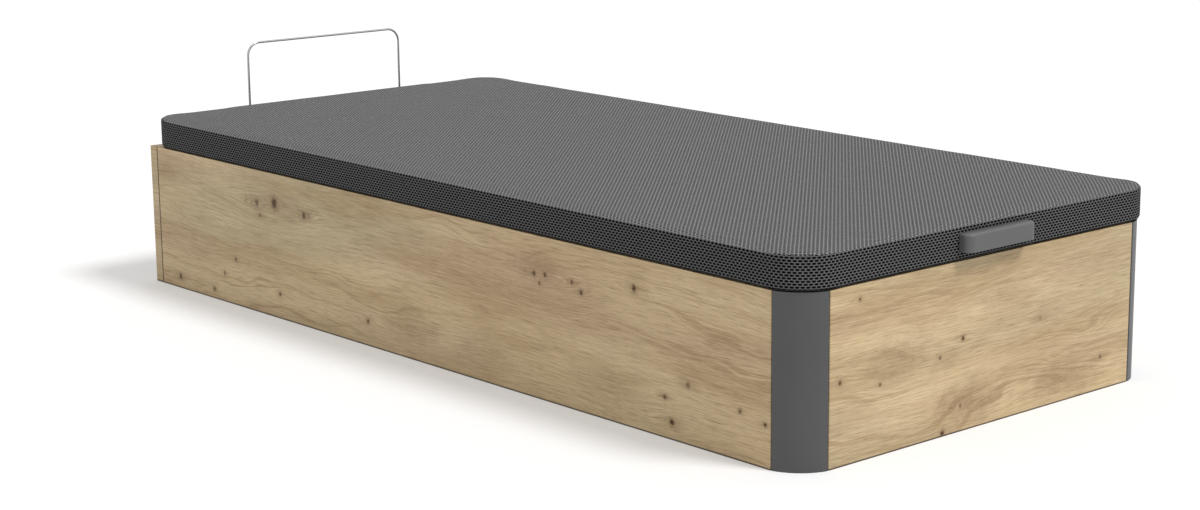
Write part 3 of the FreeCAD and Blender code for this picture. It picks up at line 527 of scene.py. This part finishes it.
def board_material(name, along_axis, knots, seed):
    """Oak foil whose grain runs along X or Y, with knots at their places."""
    material, net, shader, place = new_material(name, roughness=0.45, Specular_IOR_Level=0.25)
    x, y, z = net.parts(place)
    along = {"X": x, "Y": y}[along_axis]
    ragged = net.noise(place, detail=3.0, roughness=0.65, scale=RAGGED_SCALE)
    ragged = net.times(net.sub(ragged, 0.5), RAGGED_SPREAD)
    drifting = net.noise(place, detail=2.0, scale=DRIFTING_SCALE)
    drifting = net.times(net.sub(drifting, 0.5), DRIFTING_SPREAD)
    core, halo, bend = 0.0, 0.0, 0.0
    for place_along, place_across, size, core_share, halo_share in knots:
        knot = net.group(knot_group, **{
            "Along": along, "Across": z, "Place Along": place_along, "Place Across": place_across,
            "Size": size, "Core": core_share, "Halo": halo_share, "Ragged": ragged,
            "Drifting": drifting})
        core = net.math("MAXIMUM", core, knot["Core"])
        halo = net.math("MAXIMUM", halo, knot["Halo"])
        bend = net.add(bend, knot["Bend"])
    foil = net.group(oak_group, Along=along, Across=z, Seed=seed, Bend=bend, Core=core, Halo=halo)
    outer_face = net.soft(net.math("ABSOLUTE", x), *OUTER_FACE)
    # Painted shade along the head joint, on the outer faces alone.
    joint_shade = net.soft(net.math("ABSOLUTE", net.sub(y, HEAD_JOINT)), *JOINT_SHADE_FADE)
    joint_shade = net.times(net.times(joint_shade, outer_face), JOINT_SHADE_SHARE)
    # Painted shade: the lowest few millimetres of each board go near black.
    contact_shade = net.times(net.soft(z, *CONTACT_SHADE_FADE), CONTACT_SHADE_SHARE)
    wood = net.mix(joint_shade, foil["Color"], JOINT_SHADE)
    net.feed(shader["Base Color"], net.mix(contact_shade, wood, CONTACT_SHADE))
    net.feed(shader["Roughness"], foil["Roughness"])
    net.feed(shader["Normal"], net.bump(foil["Height"], FOIL_RELIEF, 0.5))
    return material


dress(board_material("oak_left_side", "Y", KNOTS_LEFT_SIDE, 3.0), "side_panel_left")
dress(board_material("oak_right_side", "Y", KNOTS_RIGHT_SIDE, 17.0), "side_panel_right")
dress(board_material("oak_foot", "X", KNOTS_FOOT, 8.0), "foot_panel")
dress(board_material("oak_head", "X", KNOTS_HEAD, 23.0), "head_panel")
print("boards dressed")

# %% [markdown]
# ## Moulded and extruded plastic
# The corner profiles are extruded and the pull is moulded, both in dark grey with a satin face. Satin
# plastic isn't smooth: a very fine grain breaks up its highlight, and the tone drifts a little over the
# surface. One group makes that grain, and each material sets how coarse it is.

# %% The fine grain group
grain_group, net, given, result = new_group(
    "fine_grain", {"X": 0.0, "Y": 0.0, "Z": 0.0, "Scale": 1500.0},
    {"Grain": "Float", "Drift": "Float"})
spot = net.vector(given["X"], given["Y"], given["Z"])
net.feed(result["Grain"], net.noise(spot, detail=2.0, roughness=0.6, scale=given["Scale"]))
net.feed(result["Drift"], net.noise(spot, detail=3.0, roughness=0.55, scale=9.0))
print("fine grain group", len(grain_group.nodes), "nodes")


# %% Grained finishes


def grained(name, color, roughness, scale, depth, drift=0.10, **constants):
    """A finish with fine grain, a slow drift of tone, and roughness that follows the grain."""
    material, net, shader, place = new_material(name, color, roughness, **constants)
    x, y, z = net.parts(place)
    grain = net.group(grain_group, X=x, Y=y, Z=z, Scale=scale)
    dark = tuple(c * (1 - drift) for c in color)
    light = tuple(min(1.0, c * (1 + drift)) for c in color)
    net.feed(shader["Base Color"], net.mix(net.soft(grain["Drift"], 0.3, 0.7), dark, light))
    spread = net.times(net.sub(grain["Grain"], 0.5), 0.16)
    net.feed(shader["Roughness"], net.add(spread, roughness))
    net.feed(shader["Normal"], net.bump(grain["Grain"], depth))
    return material


PROFILE_GREY = (0.069, 0.070, 0.072)
HANDLE_GREY = (0.102, 0.103, 0.106)
profile_finish = grained("profile_grey", PROFILE_GREY, 0.42, 2200.0, 0.010 * MM, 0.04,
                         Specular_IOR_Level=0.5)
handle_finish = grained("handle_grey", HANDLE_GREY, 0.46, 1400.0, 0.02 * MM, 0.04)
dress(profile_finish, "corner_profile_right", "corner_profile_left")
dress(handle_finish, "handle")
print("profiles and pull dressed")

# %% [markdown]
# ## Steel, zinc and rubber
# The mechanism is grey powder-coated steel, the screws and pins are zinc plated, the struts are gloss
# black with a polished rod, and the mattress stop is bright wire. These also come from the grain group,
# with other colours, scales and metal values.

# %% Hardware finishes
powder_coat = grained("powder_coat", (0.215, 0.222, 0.230), 0.50, 900.0, 0.05 * MM, 0.06)
zinc = grained("zinc_plate", (0.62, 0.64, 0.66), 0.34, 700.0, 0.006 * MM, 0.12, Metallic=1.0)
strut_paint = grained("strut_paint", (0.016, 0.016, 0.017), 0.24, 600.0, 0.006 * MM, 0.05,
                      Coat_Weight=0.6, Coat_Roughness=0.08)
rod_chrome = grained("rod_chrome", (0.72, 0.73, 0.75), 0.12, 1200.0, 0.002 * MM, 0.03, Metallic=1.0)
bright_wire = grained("bright_wire", (0.42, 0.43, 0.45), 0.26, 900.0, 0.004 * MM, 0.05, Metallic=1.0)
clear_rubber = grained("clear_rubber", (0.70, 0.70, 0.66), 0.30, 800.0, 0.01 * MM, 0.04,
                       Transmission_Weight=0.35, IOR=1.45)
SIDES = ("right", "left")
for side in SIDES:
    dress(powder_coat, "fixed_plate_" + side, "strut_bracket_" + side, "main_arm_" + side,
          "rear_link_" + side, "lid_bracket_" + side)
    dress(zinc, "head_angle_" + side)
    dress(strut_paint, "strut_cylinder_" + side)
    dress(rod_chrome, "strut_rod_" + side)
dress(zinc, "head_angle_screws", "profile_screws", "ledge_screws", "fixed_plate_screws",
      "strut_bracket_screws", "lid_bracket_screws", "handle_screws", "stop_clip_screws",
      "fixed_pivot_pins", "lid_pivot_pins", "stop_clips")
dress(rod_chrome, "strut_top_studs")
dress(bright_wire, "mattress_stop")
dress(clear_rubber, "lid_bumpers")
print("hardware dressed")

# %% [markdown]
# ## Rails and hidden boards
# The lid frame and the ledges are planed softwood, paler and yellower than the foil, with wide growth
# lines. A wave that runs back and forth makes the lines, and noise bends it a little. The grain follows
# each rail's own length. The floor boards and the lid board are thin fibreboard: brown, and speckled
# with fibres, which is one noise in two browns.

# %% The softwood group
PALE_PINE = (0.720, 0.560, 0.350)
DARK_PINE = (0.560, 0.370, 0.180)
RINGS_ACROSS, RINGS_UP, RINGS_PER_WANDER = 90.0, 55.0, 9.0
GROWTH_SHARE, FUZZ_SHARE = 0.6, 0.3

pine_group, net, given, result = new_group(
    "softwood", {"Along": 0.0, "Across": 0.0, "Up": 0.0}, {"Color": "Color", "Height": "Float"})


def pine_noise(per_metre_along, per_metre_across, detail):
    """Noise stretched along a rail."""
    return net.noise(net.vector(net.times(given["Along"], per_metre_along),
                                net.times(given["Across"], per_metre_across),
                                net.times(given["Up"], per_metre_across)), detail=detail)


level = net.add(net.times(given["Across"], RINGS_ACROSS), net.times(given["Up"], RINGS_UP))
level = net.add(level, net.times(pine_noise(2.0, 8.0, 1.0), RINGS_PER_WANDER))
growth = net.math("POWER", net.math("PINGPONG", level, 1.0), 2.5)
fuzz = pine_noise(12.0, 600.0, 2.0)
wood = net.mix(net.times(growth, GROWTH_SHARE), PALE_PINE, DARK_PINE)
wood = net.mix(net.times(net.soft(fuzz, 0.5, 0.75), FUZZ_SHARE), wood, DARK_PINE)
net.feed(result["Color"], wood)
net.feed(result["Height"], fuzz)
print("softwood group", len(pine_group.nodes), "nodes")

# %% Rails


def pine_material(name, along_axis):
    """Softwood whose grain runs along X or Y."""
    material, net, shader, place = new_material(name, roughness=0.62)
    x, y, z = net.parts(place)
    along, across = (x, y) if along_axis == "X" else (y, x)
    wood = net.group(pine_group, Along=along, Across=across, Up=z)
    net.feed(shader["Base Color"], wood["Color"])
    net.feed(shader["Normal"], net.bump(wood["Height"], 0.15 * MM))
    return material


pine_long = pine_material("softwood_long", "Y")
pine_cross = pine_material("softwood_cross", "X")
dress(pine_long, "centre_floor_rail", "side_ledge_right", "side_ledge_left",
      "lid_side_rail_right", "lid_side_rail_left")
dress(pine_cross, "foot_ledge", "head_ledge", "lid_foot_rail", "lid_head_rail", "lid_cross_rail_1",
      "lid_cross_rail_2", "lid_cross_rail_3", "lid_corner_head_right", "lid_corner_head_left",
      "lid_corner_foot_left", "lid_corner_foot_right")
print("rails dressed")

# %% Fibreboard
DARK_FIBRE = (0.30, 0.205, 0.120)
LIGHT_FIBRE = (0.46, 0.335, 0.210)
CLOUDED_FIBRE = (0.36, 0.25, 0.15)

fibreboard, net, shader, place = new_material("fibreboard", roughness=0.66)
speckle = net.noise(place, detail=4.0, roughness=0.7, scale=420.0)
clouds = net.noise(place, detail=2.0, scale=6.0)
board_color = net.mix(net.soft(speckle, 0.35, 0.7), DARK_FIBRE, LIGHT_FIBRE)
net.feed(shader["Base Color"], net.mix(net.times(clouds, 0.3), board_color, CLOUDED_FIBRE))
net.feed(shader["Normal"], net.bump(speckle, 0.05 * MM))
dress(fibreboard, "floor_board_head", "floor_board_foot", "lid_board", "lid_foam")
print("fibreboard dressed")

# %% [markdown]
# ## The spacer mesh
# The cover is a thick knitted mesh: two faces held apart by threads. What the eye sees is a lattice of
# small dark eyelets in staggered rows, about 9 mm apart along the edge, with a light ribbed yarn
# between. The eyelets follow the rim round the corners, so the coordinate along the side is the length
# of the rim, and not X or Y. On the top the lattice runs straight, with the length of the bed. Real
# holes would take far too many faces, so a bump draws them, and their dark tone is painted shade.

# %% The mesh fabric group
EYELET_PITCH = 8.7 * MM
ROW_HEIGHT = 4.6 * MM
EYELET_HALF_LENGTH = 3.7 * MM
SIDE_HALF_WIDTH = 1.95 * MM
TOP_HALF_WIDTH = 2.05 * MM
WOBBLE_SCALE, WOBBLE_SPREAD = 330.0, 0.6
THREADS_ALONG, THREADS_ACROSS = 700.0, 2100.0
# Levels of the eyelet's oval, which is 1 on its outline: the edge of the hole, and the dip round it.
HOLE_FADE = (1.30, 0.70)
DIP_FADE = (0.3, 2.2)

fabric_group, net, given, result = new_group(
    "spacer_mesh", {"U": 0.0, "V": 0.0, "Pitch": EYELET_PITCH, "Row": ROW_HEIGHT,
                    "Half Length": EYELET_HALF_LENGTH, "Half Width": SIDE_HALF_WIDTH},
    {"Hole": "Float", "Height": "Float", "Rib": "Float"})
row_place = net.math("DIVIDE", given["V"], given["Row"])
row_number = net.math("FLOOR", row_place)
stagger = net.times(net.math("FLOORED_MODULO", row_number, 2.0), 0.5)
in_row = net.times(net.sub(net.sub(row_place, row_number), 0.5), given["Row"])
pitch_place = net.add(net.math("DIVIDE", given["U"], given["Pitch"]), stagger)
in_pitch = net.times(net.sub(net.math("FRACT", pitch_place), 0.5), given["Pitch"])
wobble = net.noise(net.vector(given["U"], given["V"], 0.0), detail=1.0, scale=WOBBLE_SCALE)
eyelet = net.add(net.square(net.math("DIVIDE", in_pitch, given["Half Length"])),
                 net.square(net.math("DIVIDE", in_row, given["Half Width"])))
eyelet = net.add(eyelet, net.times(net.sub(wobble, 0.5), WOBBLE_SPREAD))
thread_spot = net.vector(net.times(given["U"], THREADS_ALONG),
                         net.times(given["V"], THREADS_ACROSS), 0.0)
net.feed(result["Hole"], net.soft(eyelet, *HOLE_FADE))
net.feed(result["Height"], net.soft(eyelet, *DIP_FADE))
net.feed(result["Rib"], net.noise(thread_spot, detail=2.0))
print("spacer mesh group", len(fabric_group.nodes), "nodes")

# %% The cover's measures
lid_low, lid_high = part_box("lid_cover")
HALF_WIDTH = lid_high.x
HALF_LENGTH = lid_high.y
CORNER_RADIUS = 75 * MM
STRAIGHT_X = HALF_WIDTH - CORNER_RADIUS
STRAIGHT_Y = HALF_LENGTH - CORNER_RADIUS
QUARTER_RIM = STRAIGHT_Y + CORNER_RADIUS * math.pi / 2 + STRAIGHT_X
PITCH = QUARTER_RIM / round(QUARTER_RIM / EYELET_PITCH)
print("rim quarter", round(QUARTER_RIM, 4), "pitch", round(PITCH * 1000, 2), "mm")

# %% The cover's material
# Lit and shaded copies of one fabric: a lighter top with painted sheen, darker sides with painted
# shade.
LIT_TOP_YARN = (0.345, 0.345, 0.346)
SHADED_SIDE_YARN = (0.165, 0.166, 0.169)
LIT_TOP_HOLE = (0.048, 0.048, 0.048)
SHADED_SIDE_HOLE = (0.004, 0.004, 0.004)
THREAD_TONES = (0.78, 1.20)
# Painted shade along the cover's lowest few millimetres, over the gap between lid and box.
GAP_SHADE_HEIGHT = 4.3 * MM
GAP_SHADE_SHARE = 0.92
NEARLY_LEVEL = 0.7
NEARLY_NOTHING = 0.00001
MESH_RELIEF = 1.1 * MM

cover_material, net, shader, place = new_material(
    "spacer_mesh", roughness=0.85, Specular_IOR_Level=0.02)
x, y, z = net.parts(place)
from_middle_x = net.math("ABSOLUTE", x)
from_middle_y = net.math("ABSOLUTE", y)
over_x = net.sub(from_middle_x, STRAIGHT_X)
over_y = net.sub(from_middle_y, STRAIGHT_Y)
corner_angle = net.math("ARCTAN2", net.math("MAXIMUM", over_y, 0.0),
                        net.math("MAXIMUM", over_x, NEARLY_NOTHING))
arc = net.add(net.times(corner_angle, CORNER_RADIUS), STRAIGHT_Y)
rim = net.choose(net.math("LESS_THAN", over_y, 0.0), from_middle_y, arc)
rim = net.choose(net.math("LESS_THAN", over_x, 0.0), net.sub(QUARTER_RIM, from_middle_x), rim)
facing = net.parts(net.node("TexCoord").outputs["Normal"])[2]
on_top = net.math("GREATER_THAN", net.math("ABSOLUTE", facing), NEARLY_LEVEL)
mesh_cloth = net.group(fabric_group, **{
    "U": net.choose(on_top, y, rim), "V": net.choose(on_top, x, z), "Pitch": PITCH,
    "Half Width": net.choose(on_top, TOP_HALF_WIDTH, SIDE_HALF_WIDTH)})
thread_share = net.soft(mesh_cloth["Rib"], 0.35, 0.7)
# The yarn of the sides and of the top, as shaded and lit copies.
lit_and_shaded_yarns = [net.mix(thread_share, *(tuple(c * tone for c in yarn) for tone in THREAD_TONES))
         for yarn in (SHADED_SIDE_YARN, LIT_TOP_YARN)]
# Painted shade: the foot of the cover goes dark, as the shade in the gap under the lid.
gap_shade = net.soft(z, lid_low.z + GAP_SHADE_HEIGHT, lid_low.z + 0.7 * GAP_SHADE_HEIGHT)
painted_shade_share = net.math("MAXIMUM", mesh_cloth["Hole"], net.times(gap_shade, GAP_SHADE_SHARE))
# Painted shade in the eyelets: near black on the sides, lighter on the top.
hole_shade = net.mix(on_top, SHADED_SIDE_HOLE, LIT_TOP_HOLE)
net.feed(shader["Base Color"], net.mix(painted_shade_share, net.mix(on_top, *lit_and_shaded_yarns), hole_shade))
relief = net.add(mesh_cloth["Height"], net.times(mesh_cloth["Rib"], 0.12))
net.feed(shader["Normal"], net.bump(relief, MESH_RELIEF, 0.8))
print("cover material", len(net.tree.nodes), "nodes")

# %% [markdown]
# ## The cover as cloth
# The fabric is pulled over the padding and turned under the frame. Its top face swells a little over
# the foam, and the edges are small soft rounds. A grid of squares makes the top, bent round the four
# corners, and rings made from its rim go down the sides and under the frame as a hem. A short cloth
# run with pressure inside then rounds it, while the hem stays where the staples hold it.

# %% Grid lines and round corners
EDGE_RADIUS = 4.2 * MM
CELL = 19.0 * MM
CORNER_CELLS = 5


def steps_of(half_size):
    """Grid lines over one side: even cells in both corners, and cells of about one size between."""
    radius = CORNER_RADIUS - EDGE_RADIUS
    straight = half_size - radius
    count = round(2 * straight / CELL)
    corner = [radius * i / CORNER_CELLS for i in range(CORNER_CELLS)]
    lines = [-half_size + c for c in corner]
    lines += [-straight + 2 * straight * i / count for i in range(count + 1)]
    lines += [half_size - c for c in reversed(corner)]
    return lines


def bent_corner(x, y, half_x, half_y, radius):
    """Moves a grid point of a square corner into a round one. Gives it and its outward direction."""
    a = (abs(x) - (half_x - radius)) / radius
    b = (abs(y) - (half_y - radius)) / radius
    if a <= 0 or b <= 0:
        outward = Vector((math.copysign(1, x), 0)) if a > b else Vector((0, math.copysign(1, y)))
        return Vector((x, y)), outward
    angle = math.pi / 4 * (b / a) if a >= b else math.pi / 2 - math.pi / 4 * (a / b)
    outward = Vector((math.copysign(math.cos(angle), x), math.copysign(math.sin(angle), y)))
    centre = Vector((math.copysign(half_x - radius, x), math.copysign(half_y - radius, y)))
    return centre + outward * radius * max(a, b), outward


print("cells of", round(CELL * 1000), "mm,", CORNER_CELLS, "in each corner")

# %% The way down the side
HEM_RADIUS = 4.0 * MM
HEM_WIDTH = 27.0 * MM
ROUND_STEPS, WALL_STEPS, HEM_STEPS = 3, 4, 3


def side_profile(top, bottom):
    """Steps from the top's rim to the hem's end, as outward offset and height."""
    straight_top = top - EDGE_RADIUS
    straight_bottom = bottom + HEM_RADIUS
    turns = [math.radians(90 * i / ROUND_STEPS) for i in range(1, ROUND_STEPS + 1)]
    steps = [(EDGE_RADIUS * math.sin(turn), top - EDGE_RADIUS * (1 - math.cos(turn))) for turn in turns]
    steps += [(EDGE_RADIUS, straight_top + (straight_bottom - straight_top) * i / WALL_STEPS)
              for i in range(1, WALL_STEPS + 1)]
    steps += [(EDGE_RADIUS - HEM_RADIUS * (1 - math.cos(turn)),
               straight_bottom - HEM_RADIUS * math.sin(turn)) for turn in turns]
    steps += [(EDGE_RADIUS - HEM_RADIUS - (HEM_WIDTH - HEM_RADIUS) * i / HEM_STEPS, bottom)
              for i in range(1, HEM_STEPS + 1)]
    return steps


print("rings from rim to hem", 2 * ROUND_STEPS + WALL_STEPS + HEM_STEPS)

# %% Build the cover
CLOTH_INSET = 1.2 * MM


def piece_from(name, mesh):
    """Turns a finished bmesh into an object of the scene."""
    data = bpy.data.meshes.new(name)
    mesh.to_mesh(data)
    mesh.free()
    return add_object(name, data)


def build_cover():
    """The unstretched cover as an object, and the indexes of the hem's points."""
    half_x = HALF_WIDTH - CLOTH_INSET - EDGE_RADIUS
    half_y = HALF_LENGTH - CLOTH_INSET - EDGE_RADIUS
    radius = CORNER_RADIUS - CLOTH_INSET - EDGE_RADIUS
    lines_x = steps_of(half_x)
    lines_y = steps_of(half_y)
    top = lid_high.z - CLOTH_INSET
    bottom = lid_low.z
    mesh = bmesh.new()
    grid, outwards = {}, {}
    for i, x in enumerate(lines_x):
        for j, y in enumerate(lines_y):
            point, outward = bent_corner(x, y, half_x, half_y, radius)
            grid[i, j] = mesh.verts.new((point.x, point.y, top))
            outwards[i, j] = outward
    last_i, last_j = len(lines_x) - 1, len(lines_y) - 1
    for i in range(last_i):
        for j in range(last_j):
            mesh.faces.new((grid[i, j], grid[i + 1, j], grid[i + 1, j + 1], grid[i, j + 1]))
    rim_keys = [(i, 0) for i in range(last_i)] + [(last_i, j) for j in range(last_j)]
    rim_keys += [(i, last_j) for i in range(last_i, 0, -1)] + [(0, j) for j in range(last_j, 0, -1)]
    ring = [grid[key] for key in rim_keys]
    hem = []
    steps = side_profile(top, bottom)
    for number, (offset, height) in enumerate(steps):
        fresh = []
        for key in rim_keys:
            base, outward = grid[key].co, outwards[key]
            spot = (base.x + outward.x * offset, base.y + outward.y * offset, height)
            fresh.append(mesh.verts.new(spot))
        for k in range(len(ring)):
            after = (k + 1) % len(ring)
            mesh.faces.new((ring[after], ring[k], fresh[k], fresh[after]))
        ring = fresh
        if number >= len(steps) - HEM_STEPS - 1:
            hem += fresh
    mesh.normal_update()
    mesh.verts.index_update()
    hem_indexes = [v.index for v in hem]
    return piece_from("lid_cover_cloth", mesh), hem_indexes


cover, hem_indexes = build_cover()
cover_mesh = cover.data
print("cover", len(cover_mesh.vertices), "points,", len(hem_indexes), "held by the hem")

# %% [markdown]
# ### Let the cloth settle
# The cloth run is short and has no gravity: the pressure of the foam pushes the skin out until its own
# stiffness stops it. The frame behind the skin doesn't give, so no point may move inward, and a cap on
# the travel keeps the lid at its real size. The settled shape is copied into the mesh, so that no
# simulation stays on the piece.

# %% Cloth run
CLOTH_FRAMES = 20
CLOTH_SETTINGS = {
    "quality": 6, "mass": 0.3, "tension_stiffness": 40, "compression_stiffness": 40,
    "shear_stiffness": 20, "bending_stiffness": 8, "use_pressure": True,
    "uniform_pressure_force": 4, "vertex_group_mass": "held",
}
MOVE_CAP = 2.0 * MM


def outward_at(point):
    """The direction straight out of the lid's rim at a point, or nothing inside the straight lines."""
    nearest = Vector((max(-STRAIGHT_X, min(STRAIGHT_X, point.x)),
                      max(-STRAIGHT_Y, min(STRAIGHT_Y, point.y)), point.z))
    away = point - nearest
    return away.normalized() if away.length > 0.5 * CORNER_RADIUS else Vector((0, 0, 0))


def capped_move(start, end):
    """The move from start to end, without its inward part and no longer than the cap."""
    move = end - start
    outward = outward_at(start)
    move -= outward * min(0.0, move.dot(outward))
    if move.length > MOVE_CAP:
        move *= MOVE_CAP / move.length
    return move


def settle(piece, held):
    """Runs the cloth and copies its capped shape into the mesh. Gives the longest uncapped move."""
    rest = [v.co.copy() for v in piece.data.vertices]
    piece.vertex_groups.new(name="held").add(held, 1.0, "REPLACE")
    cloth = piece.modifiers.new("cloth", "CLOTH")
    for name, value in CLOTH_SETTINGS.items():
        setattr(cloth.settings, name, value)
    cloth.settings.effector_weights.gravity = 0
    cloth.point_cache.frame_start = 1
    cloth.point_cache.frame_end = CLOTH_FRAMES
    for number in range(1, CLOTH_FRAMES + 1):
        scene.frame_set(number)
    graph = bpy.context.evaluated_depsgraph_get()
    settled = [v.co.copy() for v in piece.evaluated_get(graph).data.vertices]
    piece.modifiers.remove(cloth)
    for vertex, start, end in zip(piece.data.vertices, rest, settled):
        vertex.co = start + capped_move(start, end)
    scene.frame_set(1)
    return max((end - start).length for start, end in zip(rest, settled))


print("cloth moved at most", round(settle(cover, hem_indexes) * 1000, 2), "mm before the cap")

# %% Smooth the cover and give it its thickness
CLOTH_THICKNESS = 2.5 * MM
smooth = cover.modifiers.new("smooth", "SUBSURF")
smooth.levels = 1
smooth.render_levels = 1
shell = cover.modifiers.new("thickness", "SOLIDIFY")
shell.thickness = CLOTH_THICKNESS
shell.offset = -1
for face in cover_mesh.polygons:
    face.use_smooth = True
cover_mesh.materials.append(cover_material)
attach(cover, "lid")
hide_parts("lid_cover", "lid_foam")
print("cover in place")

# %% [markdown]
# ## Small marks of making
# Two things are too small for the solid model. Staples hold the hem to the frame rails all round the
# underside, and each screw head has a cross for the driver. Both are made of plain blocks, because they
# are too small to show more. The crosses are near black: painted shade in the recess. The staples are
# one mesh, and the crosses are one for each body. The crosses find their own places: every loose part
# of a screw node is one screw, and its wider end is the head.

# %% Staples along the hem
STAPLE_SPACING = 42 * MM
STAPLE_INSET = 20 * MM
STAPLE_SINK = 0.1 * MM
STAPLE_SIZE = (11.0 * MM, 1.1 * MM, 0.5 * MM)
CORNER_STAPLE_ANGLES = (math.radians(30), math.radians(60))
BLOCK_POINTS = 8


def add_block(mesh, centre, along, across, size):
    """Adds a small block. Along and across are directions, and the size is given in their order."""
    upward = along.cross(across)
    turn = Matrix((along * size[0], across * size[1], upward * size[2])).transposed().to_4x4()
    bmesh.ops.create_cube(mesh, size=1.0, matrix=Matrix.Translation(centre) @ turn)


def rim_stations(inset, spacing):
    """Points round the lid's underside at one inset, with the rim's direction at each."""
    stations = []
    for sign in (-1, 1):
        for half_side, offset, along in ((STRAIGHT_Y, HALF_WIDTH - inset, Vector((0, 1, 0))),
                                         (STRAIGHT_X, HALF_LENGTH - inset, Vector((1, 0, 0)))):
            outward = Vector((along.y, along.x, 0)) * sign
            count = int(2 * half_side / spacing)
            for i in range(count + 1):
                stations.append((outward * offset + along * half_side * (2 * i / count - 1), along))
        for side in (-1, 1):
            centre = Vector((sign * STRAIGHT_X, side * STRAIGHT_Y, 0))
            for angle in CORNER_STAPLE_ANGLES:
                outward = Vector((sign * math.cos(angle), side * math.sin(angle), 0))
                point = centre + outward * (CORNER_RADIUS - inset)
                stations.append((point, Vector((-outward.y, outward.x, 0))))
    return stations


staple_mesh = bmesh.new()
for point, along in rim_stations(STAPLE_INSET, STAPLE_SPACING):
    point.z = lid_low.z - STAPLE_SINK
    add_block(staple_mesh, point, along, Vector((0, 0, 1)).cross(along), STAPLE_SIZE)
staples = piece_from("hem_staples", staple_mesh)
staples.data.materials.append(zinc)
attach(staples, "lid")
print("staples", len(staples.data.vertices) // BLOCK_POINTS)

# %% Find the screws and their heads
SAME_POINT = 0.01 * MM
HEAD_SLICE = 0.6 * MM


def loose_parts(node_name):
    """The points of each loose part of a node, without changing the node."""
    mesh = bmesh.new()
    mesh.from_mesh(nodes[node_name].data)
    bmesh.ops.remove_doubles(mesh, verts=mesh.verts, dist=SAME_POINT)
    waiting = set(mesh.verts)
    parts = []
    while waiting:
        front = [waiting.pop()]
        part = []
        while front:
            vertex = front.pop()
            part.append(vertex.co.copy())
            for edge in vertex.link_edges:
                other = edge.other_vert(vertex)
                if other in waiting:
                    waiting.remove(other)
                    front.append(other)
        parts.append(part)
    mesh.free()
    return parts


def head_of(part):
    """The middle of a screw's head face, and the direction it faces."""
    low = Vector([min(p[i] for p in part) for i in range(3)])
    high = Vector([max(p[i] for p in part) for i in range(3)])
    axis = max(range(3), key=lambda i: high[i] - low[i])
    across = (axis + 1) % 3
    spreads = []
    for end in (low, high):
        near = [p[across] for p in part if abs(p[axis] - end[axis]) < HEAD_SLICE]
        spreads.append(max(near) - min(near))
    sign = 1 if spreads[1] > spreads[0] else -1
    face = (low + high) / 2
    face[axis] = high[axis] if sign > 0 else low[axis]
    direction = Vector((0, 0, 0))
    direction[axis] = sign
    return face, direction


print("screw finder ready")

# %% Crosses in the screw heads
CROSS_SIZE = (4.4 * MM, 1.0 * MM, 0.24 * MM)
SCREWS_ON = {
    "base": ("fixed_plate_screws", "head_angle_screws", "ledge_screws", "profile_screws",
             "strut_bracket_screws"),
    "lid": ("lid_bracket_screws", "handle_screws", "stop_clip_screws"),
}

# Painted shade: near-black crosses stand for the shade inside each driver recess.
painted_recess_shade, net, shader, place = new_material("painted_recess_shade", (0.02, 0.02, 0.021), 0.7)
net.feed(shader["Roughness"], net.add(net.times(net.noise(place, scale=900.0), 0.2), 0.6))
for body, names in SCREWS_ON.items():
    cross_mesh = bmesh.new()
    for part in (part for name in names for part in loose_parts(name)):
        face, direction = head_of(part)
        first = Vector((direction.y, direction.z, direction.x))
        second = direction.cross(first)
        for along, across in ((first, second), (second, -first)):
            add_block(cross_mesh, face, along, across, CROSS_SIZE)
    crosses = piece_from("screw_crosses_" + body, cross_mesh)
    crosses.data.materials.append(painted_recess_shade)
    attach(crosses, body)
    print("crosses on", body, len(crosses.data.vertices) // (2 * BLOCK_POINTS))
